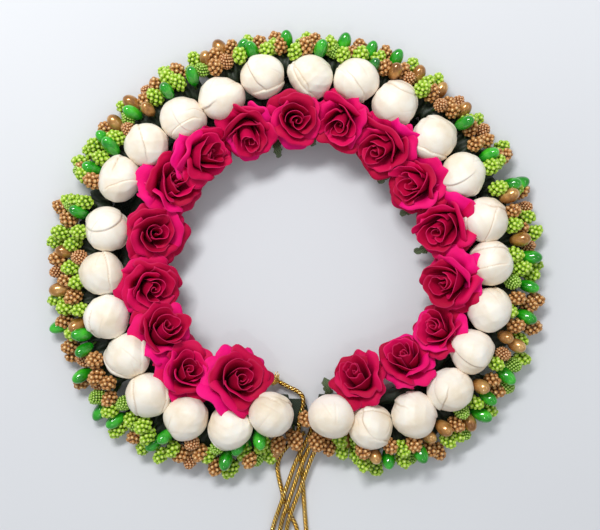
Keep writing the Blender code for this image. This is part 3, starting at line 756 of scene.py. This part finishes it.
bud_nodes = sorted(node for node in body_of_node if node.startswith("sola_bud"))
for seed, (node, shift) in enumerate(zip(bud_nodes, BUD_SHIFTS), 40):
    sola_bud(node, seed, shift)
print("buds:", len(bud_nodes))

# %% [markdown]
# ## Paper roses
# A paper rose is punched petals glued in rings: a strip rolled tight in the middle, a cup of upright
# petals, and wide outer petals whose sides are rolled back over a rod, which makes them look pointed.  One
# petal is a grid of two parameters: u across it and v up it.  Each ring has its own curves for the radius
# and the height.

# %% Petal rings
PETAL_ROWS, PETAL_COLUMNS = 15, 29
# Each ring, in millimetres and degrees: petals, reach, height, half width, lip, side roll, spiral, openness.
PETAL_RINGS = (
    (1, 1.1, 8.5, 235, 0.0, 0.0, 0.70, 0.00),
    (2, 2.5, 9.4, 98, 0.2, 0.1, 0.75, 0.05),
    (3, 4.5, 8.9, 70, 1.0, 0.7, 0.75, 0.30),
    (4, 6.7, 7.6, 62, 1.3, 1.3, 0.60, 0.60),
    (5, 8.4, 5.2, 56, 1.2, 1.7, 0.55, 1.00),
)
# Range of levels, from dark crimson to bright magenta, that the petals of each ring take at random: inner
# rings are held darker as painted shade, and the outer ones are often a brighter magenta as painted light.
TONE_AND_LIGHT_LEVELS = ((0, 3), (1, 5), (0, 7), (1, 9), (2, 10))


def petal_grids(random, number_of_ring, count, reach, height, half_width, lip, side_roll, spiral, openness):
    """All petals of one ring.

    The radius grows as sin(pi v / 2)^0.75 where the ring stands and as v^1.25 where it is open, and less
    beside the middle line.  Near the top, the lip turns outwards and down.  The sides roll down as
    (|u| - 0.45)^2.  The angle follows u, and the spiral lays one side of a petal over its neighbour.
    """
    v = np.linspace(0, 1, PETAL_ROWS)[None, :, None]
    u = np.linspace(-1, 1, PETAL_COLUMNS)[None, None, :]

    def vary(low, high):
        return random.uniform(low, high, (count, 1, 1))

    side = np.abs(u)
    notch = 0.05 * np.sin(u * vary(3, 6) + vary(0, 6)) + 0.03 * np.sin(u * vary(8, 12) + vary(0, 6))
    up = v * (1 - (0.08 + 0.10 * openness) * side ** 2.6 * vary(0.5, 1.5) + notch)
    rim = reach * vary(0.92, 1.06)
    closed = np.sin(np.clip(up, 0, 1) * np.pi / 2) ** 0.75
    opened = np.maximum(up, 0) ** 1.25
    radius = 0.5 + (rim - 0.5) * (closed * (1 - openness) + opened * openness)
    radius = radius * (1 - 0.07 * openness * side ** 1.5)
    tall = height * vary(0.90, 1.06) * (1 + 0.05 * u * vary(-1, 1))
    level = tall * (up * (1 - openness) + np.sin(np.clip(up, 0, 1.1) * np.pi / 2) * openness)
    turned = smoothstep(up, 0.62, 1.02)
    radius = radius + lip * 0.55 * turned ** 2 * vary(0.6, 1.4)
    level = level - lip * 0.65 * turned ** 3 * vary(0.5, 1.4)
    rolled = np.maximum(0, side - 0.45) ** 2 * 3.3 * up
    level = level - side_roll * rolled * vary(0.6, 1.4)
    radius = radius - 0.25 * side_roll * rolled
    # A soft fold runs up each petal, and its surface ripples a little.
    radius = radius + 0.40 * np.sin(u * vary(2, 5) + vary(0, 6)) * up
    level = level + (0.15 + 0.45 * openness) * np.sin(u * vary(3, 6) + vary(0, 6)) * up
    radius = radius + spiral * u * (0.4 + 0.6 * up)
    spread = np.radians(half_width) * (0.55 + 0.45 * smoothstep(v, 0.0, 0.5)) * vary(0.92, 1.08)
    centre = 2 * np.pi * np.arange(count)[:, None, None] / count + vary(-0.16, 0.16)
    angle = centre + spread * u
    # An open petal is nearly flat, so that it is farther from the middle at its sides than an arc would be.
    flat = np.minimum(1 / np.cos(np.minimum(0.8 * spread * side, 1.2)), 1.35) - 1
    radius = radius * (1 + 0.75 * flat * np.minimum(1, 2 * openness) * up)
    points = np.stack([radius * np.cos(angle), radius * np.sin(angle), level * np.ones_like(angle)], axis=-1)
    # Each petal's level is random within its ring's range: darker for painted shade on inner rings, brighter for
    # painted light on outer ones.
    tone_and_light_level = random.integers(*TONE_AND_LIGHT_LEVELS[number_of_ring], (count, 1, 1))
    return points * MM, map_values(points, tone_and_light_level + 0.001 + 0.998 * (0.5 + 0.5 * u), v)


def rose_petals(seed, scale):
    """Every ring of one rose, each ring turned against the last, as one array of petal grids."""
    random = np.random.default_rng(seed)
    grids, parameters = [], []
    first = random.uniform(0, 2 * np.pi)
    for index, ring in enumerate(PETAL_RINGS):
        points, ring_parameters = petal_grids(random, index, *ring)
        turn = first + index * 2.1 + random.uniform(-0.3, 0.3)
        cosine, sine = math.cos(turn), math.sin(turn)
        spin = np.array([[cosine, sine, 0], [-sine, cosine, 0], [0, 0, 1]])
        # Each ring is glued a little off the middle, as a hand does it.
        shift = np.append(random.uniform(-0.22, 0.22, 2) * index * 0.5 * MM, 0)
        grids.append((points @ spin + shift) * scale)
        parameters.append(ring_parameters)
    return np.concatenate(grids), np.concatenate(parameters)


# %% Rose, calyx and stem
# Size of each rose and how far, in degrees, it is turned sideways along the ring by the hand that bound it.
ROSE_SIZES = (1.14, 1.03, 1.02, 1.05, 1.03, 1.04, 1.02, 0.97, 0.98, 1.00, 1.02, 0.98, 1.06, 1.03, 0.88, 0.90,
              0.92)
ROSE_TWISTS = (-9, -6, 5, -12, -9, 18, 22, -8, 0, -14, -8, -10, 12, 5, -8, -14, 3)
# How far each rose is pressed, and how far its heart leans off its middle, to the right and to the back, in
# millimetres.
ROSE_SHIFTS = (
    (-0.6, 0.2), (-1, -0.7), (0.6, 0.5), (0.7, 0.6), (1.6, 1.2), (1.2, 1.9), (1.5, -0.6), (1.7, -0.9),
    (0.9, 0), (0.2, 1.4), (0, 0), (-0.7, 0), (1.3, 1.9), (1.4, -0.5), (0.4, -0.7), (-0.4, 1.9), (-0.9, 0.9),
)
HEART_LEANS = (
    (1.5, 0.5), (1.2, 2.2), (2.4, 2.4), (1.5, -0.3), (0.8, 1.8), (2, 2.2), (3.2, 0.8), (1.4, -2.8),
    (1.4, 0.8), (-0.5, -2.2), (-2.6, -1.4), (-3.2, 0), (-2.8, -2), (-3, -0.8), (-2.6, 1), (-2, 2.6),
    (-1.6, 2.8),
)
PIVOT = 5.5 * MM              # height up the rose about which it is turned
SINK = 8.3 * MM               # from the middle of the plain cup's head down to the calyx


def paper_rose(node, seed, size, twist, shift, lean):
    """Petals on the rose's own axis, with a green calyx cup and a stem that bends in to the wire."""
    foot, head_points = foot_and_head(node)
    middle = head_points.mean(axis=0)
    _, _, directions = np.linalg.svd(head_points - middle, full_matrices=False)
    upright = directions[2] * np.sign(directions[2][2])
    beside = along(turn_of(middle))
    beside = beside - upright * (beside @ upright)
    axis = upright * math.cos(math.radians(twist)) + beside * math.sin(math.radians(twist))
    axes = flower_axes(axis, beside)
    middle = middle + np.array([*shift, 0.0]) * MM
    calyx = middle - upright * (SINK - PIVOT) - axis * PIVOT
    grids, parameters = rose_petals(seed, size)
    # The heart leans: points above 3 mm move sideways, and the whole lean is reached at 9.5 mm.
    high = smoothstep(grids[..., 2:3], 3.0 * MM, 9.5 * MM)
    petals = grids @ axes + calyx + high * np.array([*lean, 0.0]) * MM
    name = node.replace("paper_rose", "mulberry_rose")
    rose = mesh_of_grids(name, petals, rose_paper, around=False, capped=False, parameters=parameters)
    thicken(rose, "paper_thickness", 0.16 * MM)
    seat(rose, body_of_node[node], node)
    line = bent_line(foot, calyx - axis * 1.5 * MM, calyx + axis * 0.9 * MM, 22)
    steps = np.linspace(0, 1, 22)
    width = 0.6 * MM + 1.1 * MM * smoothstep(steps, 0.62, 0.95) + 0.04 * MM * np.sin(steps * 70)
    bound_stalk(name, body_of_node[node], line, width, stem_wire)


rose_nodes = sorted(node for node in body_of_node if node.startswith("paper_rose"))
roses = zip(rose_nodes, ROSE_SIZES, ROSE_TWISTS, ROSE_SHIFTS, HEART_LEANS)
for seed, (node, *pose) in enumerate(roses, 300):
    paper_rose(node, seed, *pose)
print("roses:", len(rose_nodes))

# %% [markdown]
# ## Stamen bunches
# A florist works with a few stamens at a time.  Each word below is one bunch, and each letter one stamen,
# from beside the buds outwards: G lime berry, C copper berry, g green drop, k dark green drop, c gold drop,
# s green sugar head, z copper sugar head.  One list runs round each body of the ring.

# %% Bunches in words
BUNCHES = {
    "left_arm": "gCG sgGC zCCz gGgG GGsCG sGGgG CCzsg CCzgC ggGCC GcGCg GCCcG zGcCz GGCGG GgGsGC".split(),
    "crown_back": ("CgGCsG gGgGG zGscC cgCcG gGGCz gGsCG CsCcG GzgCc GgGCG GCGgC gCGCG GsCgG kGGgC cCCgC "
                   "GzGcG zCCcG gCGcz CCCzG GgGCCG").split(),
    "right_arm": ("GcgGgC GCCGz GcgzG sGgGG GCgCC cCcGC GzgsG cCgCs sGcgG cCGGs CcgCC CGgGs CcGG").split(),
}
# First and last bunch of each body, kept clear of the hinges and of the tie cords.
BUNCH_SPANS = {"left_arm": (15.5, 106.4), "crown_back": (115.2, 240.6), "right_arm": (249.4, 338.5)}
# Stamens bound at the opening one by one: letter, across and out from the opening's middle, height, heading
# (degrees from straight out of the ring, towards the right) and lean above the table.
LEFT_END = (
    ("C", 1.9, 3.4, 5.4, 40, 55), ("C", -0.6, 8.2, 4.6, 8, 20), ("C", -4.9, 9.6, 4.2, -8, 24),
    ("c", -5.6, 11.4, 2.6, -14, 4), ("G", -9.0, 9.2, 4.4, -22, 22), ("g", -12.6, 9.6, 4.0, -34, 12),
    ("G", -8.2, 12.4, 2.6, 8, 6), ("C", -2.0, 8.0, 2.8, 24, 4), ("G", -14.6, 11.0, 4.4, -16, 18),
    ("s", -12.0, 13.6, 2.8, 4, 6), ("g", -11.2, 7.4, 6.2, 10, 40),
)
RIGHT_END = (
    ("c", 7.8, 5.8, 5.6, 30, 12), ("C", 6.0, 8.6, 5.0, 4, 22), ("C", 8.8, 10.4, 4.2, 16, 14),
    ("G", 11.4, 7.8, 5.0, 26, 30), ("G", 13.2, 11.4, 4.0, 6, 16), ("G", 16.4, 9.2, 4.6, 34, 22),
    ("G", 17.4, 12.4, 2.8, 12, 6), ("c", 15.2, 7.6, 3.0, -8, 8), ("g", 19.6, 9.4, 3.4, 30, 12),
)
SPINE_PATH = 61.4 * MM
SPINE_HEIGHT = 3.2 * MM
STEM_RADIUS = 0.32 * MM
print({body: len(words) for body, words in BUNCHES.items()})


# %% [markdown]
# A berry is a seed covered with round grains.  The grains sit on a spiral that keeps them evenly spaced, as
# seeds sit in a sunflower, over an egg-shaped body.  A grain is seen only as a dot of light, so it has few
# faces.  A drop is a ball pulled out along its stem.

# %% Stamen heads
GOLDEN_ANGLE = 2.39996        # radians


def berry(random, length, radius, grain, rows, columns):
    """Body of grains: grain k stands on an egg at height share (k + 1/2) / n, in golden angle turns."""
    body_radius = radius - grain
    half_length = length / 2 - grain
    count = int(9.2 * body_radius * (half_length + 0.35 * body_radius) / (2 * grain) ** 2 * 1.22)
    height = 1 - 2 * (np.arange(count) + 0.5) / count
    turn = np.arange(count) * GOLDEN_ANGLE + random.uniform(0, 6.3)
    flat = np.sqrt(1 - height ** 2)
    egg = body_radius * (1 - 0.14 * height)
    on_ball = np.stack([flat * np.cos(turn), flat * np.sin(turn), height], axis=1)
    middle = on_ball * np.stack([egg, egg, np.full(count, half_length)], axis=1)
    normal = unit(on_ball / (body_radius, body_radius, half_length))
    middle = middle + normal * random.uniform(-0.22, 0.12, (count, 1)) * grain
    middle = middle + random.normal(scale=0.06 * grain, size=middle.shape)
    sideways = unit(np.cross(normal, np.where(np.abs(normal[:, 2:]) > 0.9, (1.0, 0, 0), UP)))
    frames = np.stack([sideways, np.cross(normal, sideways), normal], axis=1)
    sizes = grain * random.uniform(0.86, 1.12, count)
    ball = ball_grid(rows, columns)
    grains = np.einsum("ijk,nkl->nijl", ball, frames) * sizes[:, None, None, None] + middle[:, None, None]
    core = ball * (body_radius * 0.9, body_radius * 0.9, half_length * 0.95)
    # The map runs from each grain's inner side to its outer pole, which gets a painted highlight; the low side and
    # the core get painted shade.
    tip = np.broadcast_to(0.5 + 0.5 * ball[None, ..., 2], (count + 1, rows, columns)).copy()
    tip[-1] = 0.3
    shape = np.concatenate([grains, core[None]]) + (0, 0, length / 2)
    return shape, map_values(shape, 0.0, tip)


def drop(length, radius, rows=15, columns=16):
    """Ball pulled to length, a little fuller towards its tip: half width R (1 + 0.08 cos d)."""
    ball = ball_grid(rows, columns)
    width = radius * (1 + 0.08 * ball[..., 2:3])
    shape = np.concatenate([ball[..., :2] * width, (ball[..., 2:3] + 1) * length / 2], axis=-1)[None]
    return shape, map_values(shape, 0.0, 0.0)


# Letter: name, lacquer, length, radius and grain radius in millimetres; a drop has no grains.
HEADS = {
    "G": ("lime_berries", lime_berry, 6.5, 2.40, 0.69),
    "C": ("copper_berries", copper_berry, 6.2, 2.45, 0.70),
    "g": ("green_drops", green_drop, 7.2, 1.95, 0),
    "k": ("dark_drops", dark_drop, 6.6, 1.8, 0),
    "c": ("gold_drops", gold_drop, 6.4, 2.05, 0),
    "s": ("green_sugar_heads", green_sugar, 5.4, 2.25, 0.42),
    "z": ("copper_sugar_heads", copper_sugar, 5.2, 2.2, 0.44),
}


def stamen(random, letter, foot, direction, reference):
    """One head standing on foot along direction, as grids and their map."""
    _, _, length, radius, grain = HEADS[letter]
    size = random.uniform(0.92, 1.08)
    if grain:
        rows, columns = (6, 8) if grain > 0.5 else (5, 6)
        shape, parameters = berry(random, length * size, radius * size, grain, rows, columns)
    else:
        shape, parameters = drop(length * size, radius * size)
    return shape * MM @ flower_axes(direction, reference) + foot, parameters


def fringe_reach(turn):
    """Distance of the outer tips: the fringe flattens at the opening and is bound shorter at the back."""
    back = np.maximum(0.0, -math.cos(math.radians(turn)))
    return float(path_distance(turn, 74.6 * MM, 9.5 * MM, 8)) - 3.3 * MM * back ** 2


# Sideways step, in degrees of turn, of each stamen of a bunch in the order of its word.
SIDE_STEPS = (1.1, -1.7, 1.9, -0.2, -1.9)
# A bunch beside a hinge reaches for the hinge line with its inner stamens and stays clear with its outer.
HINGE_STEPS = (1.7, -1.7, 1.3, -0.5, 0.75, -1.7)


def head_place(random, turn, index, count, toward):
    """Foot and direction of one head: the first of a bunch stands by the bud, the last points outwards."""
    share = index / max(1, count - 1)
    inner = float(path_distance(turn, SPINE_PATH)) + 0.6 * MM
    outer = fringe_reach(turn) - 6.4 * MM
    distance = inner + (outer - inner) * share + random.uniform(-0.6, 0.6) * MM
    height = (7.6 - 4.3 * share + random.uniform(-0.8, 0.8)) * MM
    step = toward * HINGE_STEPS[index % 6] if toward else SIDE_STEPS[index % 5] + random.uniform(-0.35, 0.35)
    lean = math.radians(46 - 36 * share + random.uniform(-8, 8))
    aside = math.radians(-4 * step if toward else 7 * step + random.uniform(-14, 14))
    foot = ring_point(turn + step, distance, height)
    flat = outward(turn + step) * math.cos(aside) + along(turn + step) * math.sin(aside)
    return foot, flat * math.cos(lean) + UP * math.sin(lean)


# %% Bind the bunches
def bind_bunches(body, words, singles, seed):
    """Make all stamens of one body, one mesh for each kind of head and one for the stem wires."""
    random = np.random.default_rng(seed)
    kinds = {letter: [] for letter in HEADS}
    wires = []

    def bind(letter, foot, direction, reference, root):
        """Add a head, and a stem wire whose knee lies back along the head's axis."""
        kinds[letter].append(stamen(random, letter, foot, direction, reference))
        line = bent_line(root, foot - direction * 2.2 * MM, foot + direction * 0.6 * MM, 8)
        wires.append(tube_grid(line, np.full(8, STEM_RADIUS), 6))

    for number, (turn, word) in enumerate(zip(np.linspace(*BUNCH_SPANS[body], len(words)), words)):
        toward = 0
        if number == 0 and body != "left_arm":
            toward = -1
        if number == len(words) - 1 and body != "right_arm":
            toward = 1
        for index, letter in enumerate(word):
            foot, direction = head_place(random, turn, index, len(word), toward)
            bind(letter, foot, direction, along(turn),
                 ring_point(turn, path_distance(turn, SPINE_PATH), SPINE_HEIGHT))
    for letter, across, out, height, heading, lean in singles:
        foot = ring_middle + np.array([across, -out, height]) * MM - (0, OPENING_WIRE, 0)
        heading, lean = math.radians(heading), math.radians(lean)
        flat = np.array([math.sin(heading), -math.cos(heading), 0])
        direction = flat * math.cos(lean) + UP * math.sin(lean)
        root = foot - flat * 0.8 * MM
        root[2] = SPINE_HEIGHT
        bind(letter, foot, direction, np.array([1.0, 0, 0]), root)
    made = []
    for letter, heads in kinds.items():
        if heads:
            shapes = np.concatenate([shape for shape, _ in heads])
            maps = np.concatenate([parameters for _, parameters in heads])
            name, lacquer_of_kind = HEADS[letter][:2]
            made.append(mesh_of_grids(f"{body}_{name}", shapes, lacquer_of_kind, parameters=maps))
    made.append(mesh_of_grids(f"{body}_stamen_wires", np.stack(wires), stem_wire))
    return made


ends = {"left_arm": LEFT_END, "crown_back": (), "right_arm": RIGHT_END}
for seed, (body, words) in enumerate(BUNCHES.items()):
    for piece in bind_bunches(body, words, ends[body], 700 + seed):
        seat(piece, body)
        print(piece.name, len(piece.data.polygons))


# %% [markdown]
# The stems of the stamens are bound to each other with dark tape before they go on the ring, which leaves a
# lumpy dark roll under the heads.  It shows wherever two heads part.

# %% Bound stems
ROLL_PATH = 61.3 * MM
ROLL_HEIGHT = 3.7 * MM


def taped_roll(name, centres, width, end_share, spread=1.0):
    """Closed tube under tape, with its own radius at every point and narrower by end_share at both ends."""
    width[[0, -1]] *= end_share
    ring = tube_grid(centres, np.ones(len(centres)), width.shape[1]) - centres[:, None]
    ring[..., :2] *= spread
    return mesh_of_grids(name, (centres[:, None] + ring * width[..., None])[None], tape)


def bound_stems(name, first, last, size=1.0):
    """Lumpy roll: radius 2.45 mm + three sine waves along it and round it, under the stamens of one spray."""
    turns = np.linspace(first, last, max(8, int((last - first) * 2.5)))
    centres = ring_point(turns, path_distance(turns, ROLL_PATH), ROLL_HEIGHT)
    angle = np.linspace(0, 2 * np.pi, 18, endpoint=False)[None, :]
    gone = np.radians(turns)[:, None]
    lumps = np.sin(70 * gone + 2 * angle) + np.sin(113 * gone - 3 * angle) + np.sin(171 * gone + angle)
    return taped_roll(name, centres, (2.45 + 0.28 * lumps) * size * MM, 0.5, 1.6)


HINGE_SPACE = 0.9             # degrees left free on each side of a hinge line
BRIDGE_REACH = 3.2            # degrees that the roll's bend covers on each side of it
ROLL_SPANS = {"left_arm": (13.0, left_turn - HINGE_SPACE),
              "crown_back": (left_turn + HINGE_SPACE, right_turn - HINGE_SPACE),
              "right_arm": (right_turn + HINGE_SPACE, 341.0)}
for node in sorted(node for node in body_of_node if node.startswith("stamen_spray")):
    spray_turns = [turn_of(point) for point in node_points(node)]
    span = ROLL_SPANS[body_of_node[node]]
    roll = bound_stems(node.replace("stamen_spray", "bound_stamen_stems"),
                       max(min(spray_turns) - 1.5, span[0]), min(max(spray_turns) + 1.5, span[1]))
    seat(roll, body_of_node[node], node)
# At each hinge a thinner roll of tape carries on between the two bodies.
for arm, turn in (("left_arm", left_turn), ("right_arm", right_turn)):
    bridge = bound_stems(f"{arm}_taped_stem_bend", turn - BRIDGE_REACH, turn + BRIDGE_REACH, 0.82)
    middle = ring_point(turn, path_distance(turn, ROLL_PATH), ROLL_HEIGHT)
    bend_at_hinge(bridge)

# %% [markdown]
# ## Wire and ribbon
# The taped wire and the ribbon run through the whole ring.  Each is made in two halves that meet at the back.


# %% Taped wire
def taped_wire(name, first, last):
    """Tube whose radius steps with each lap of tape: laps 5 mm wide, wound at a slant round the wire."""
    turns = np.linspace(first, last, 420)
    distance = path_distance(turns, WIRE_PATH)
    centres = ring_point(turns, distance, 3.75 * MM)
    gone = np.concatenate([[0], np.cumsum(np.linalg.norm(np.diff(centres, axis=0), axis=1))])
    lap = (gone[:, None] / (5 * MM) + np.linspace(0, 1, 20, endpoint=False)) % 1.0
    return taped_roll(name, centres, 2.2 * MM + 0.2 * MM * lap, 0.55)


# %% Ribbon
def ribbon_band(name, first, last):
    """Closed flat strip 1 mm thick, which thins to a sharp selvedge over 3% of its width.

    Over the last 20 to 25 degrees the inner selvedge is trimmed back, and the end itself is cut at a slant.
    """
    steps = np.linspace(0, 1, 300)[:, None]
    share = np.array([0, 0.03, 0.25, 0.5, 0.75, 0.97, 1, 0.97, 0.75, 0.5, 0.25, 0.03])
    over = np.array([0, 1, 1, 1, 1, 1, 0, -1, -1, -1, -1, -1]) * -0.5
    slant = np.minimum(share / 0.3, 1.0)
    first_cut = first - 2.4 * slant if first < HALF_MEET else first + 0 * slant
    last_cut = last + 2.0 * slant if last > HALF_MEET + 1 else last + 0 * slant
    turns = first_cut + (last_cut - first_cut) * steps
    trimmed = 1.9 * MM * (1 - smoothstep(turns, 2.0, 25.0)) + 6.5 * MM * smoothstep(turns, 318.0, 338.0)
    offset = BAND_INNER + trimmed + (BAND_OUTER - BAND_INNER - trimmed) * share
    grid = ring_point(turns, path_distance(turns, WIRE_PATH) + offset, 0.0)
    grid[..., 2] = (0.5 + over)[None] * MM
    return mesh_of_grids(name, grid[None], ribbon, parameters=map_values(grid, share, turns / 360)[None])


HALF_MEET = 178.0
for make, kind, slot_name, ends in (
    (taped_wire, "wrapped_core", "tape_wrap", (3.0, 350.5)),
    (ribbon_band, "backing_band", "backing_weave", (-2.6, 350.0)),
):
    left_half = make(f"left_half_{kind}", ends[0], HALF_MEET)
    right_half = make(f"right_half_{kind}", HALF_MEET + 0.05, ends[1])
    bend_at_hinge(left_half)
    bend_at_hinge(right_half)
    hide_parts(f"left_{kind}", f"back_{kind}")
    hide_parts(f"right_{kind}")

# %% [markdown]
# ## Leaf tips
# A few tips of stiffened leaf net peep out inwards, below the roses.  A leaf is a grid too: as wide as a
# sine of the way along it, folded a little along its middle, and bent down towards its tip.

# %% Net leaves
# Turn, distance of the tip, length, and swing away from straight inwards.
LEAF_TIPS = (
    (35.1, 28.4, 5, 10), (171.6, 33.6, 5, -12), (187.1, 36.8, 5, 20), (223.7, 35.4, 5, -16),
    (241.8, 34.8, 6, 12), (261.3, 35.2, 6, -20), (345.2, 32.8, 5, -8),
)


def net_leaf(name, turn, tip_distance, length, swing):
    """Torn leaf: half width 1.15 mm sqrt(1.02 - v^6), ragged, folded a little, bent down along v^2."""
    v = np.linspace(0.02, 1, 15)[:, None]
    u = np.linspace(-1, 1, 9)[None, :]
    half = (1.15 * np.sqrt(1.02 - v ** 6) + 0.22 * np.sin(19 * v + turn) + 0.12 * np.sin(41 * v)) * MM
    inward = -outward(float(turn) + swing * 0.3)
    side = along(float(turn) + swing)
    tip = ring_point(float(turn), tip_distance * MM, 6.0 * MM)
    root = tip - inward * length * MM
    centre = root + inward * (v * length * MM)[..., None]
    points = centre + side * (half * u)[..., None]
    points[..., 2] += 0.9 * MM * np.abs(u) * np.sin(np.pi * v) + 1.6 * MM * np.sin(np.pi * v * 0.9)
    points[..., 2] -= 2.2 * MM * v ** 2
    leaf = mesh_of_grids(name, points[None], leaf_mesh, around=False, capped=False,
                         parameters=map_values(points, 0.5 + 0.5 * u, v)[None])
    thicken(leaf, "net_thickness", 0.2 * MM)
    return leaf


for number, leaf_tip in enumerate(LEAF_TIPS, 1):
    turn = leaf_tip[0]
    body = "left_arm" if turn < left_turn else "crown_back" if turn < right_turn else "right_arm"
    seat(net_leaf(f"net_leaf_{number}", *leaf_tip), body)

# %% [markdown]
# ## Table and light
# The ring lies on a pale, plain table under large soft lamps, so that shadows are faint and wide.

# %% Table
def pale_table():
    """Plain laminate, matt: one pale grey, faintly uneven."""
    material, tree = new_material("pale_laminate", Roughness=0.6)
    return dress(material, colour_ramp(tree, noise(tree, 6.0, 2.0), ((0.3, "#D4D6DA"), (0.7, "#DADCDF"))))


HALF_TABLE = 1.5
corners = HALF_TABLE * np.array([[[-1.0, -1, 0], [1, -1, 0]], [[-1, 1, 0], [1, 1, 0]]])
table = mesh_of_grids("table_top", corners[None], pale_table(), around=False, capped=False, smooth=False)


# %% Lamps
def soft_lamp(name, place, aim, size, power):
    """Square soft box at place, turned towards aim."""
    data = bpy.data.lights.new(name, "AREA")
    data.size = size
    data.energy = power
    lamp = place_object(name, data)
    lamp.location = place
    direction = np.array(aim) - np.array(place)
    lamp.rotation_euler = (math.acos(-direction[2] / np.linalg.norm(direction)), 0,
                           math.atan2(direction[0], -direction[1]))


soft_lamp("key_softbox", (-0.26, 0.60, 0.95), (0, 0, 0), 0.50, 25.5)
soft_lamp("fill_softbox", (0.7, 0.2, 0.8), (0, 0, 0), 0.7, 5.0)
soft_lamp("near_softbox", (0.1, -0.7, 0.8), (0, 0, 0), 0.7, 1.8)
soft_lamp("glint_lamp", (-0.12, -0.35, 0.9), (0, -0.08, 0), 0.03, 0.5)
world = bpy.data.worlds.new("studio_air")
world.use_nodes = True
world.node_tree.nodes["Background"].inputs["Color"].default_value = linear("#F2F5FA")
world.node_tree.nodes["Background"].inputs["Strength"].default_value = 0.46
bpy.context.scene.world = world
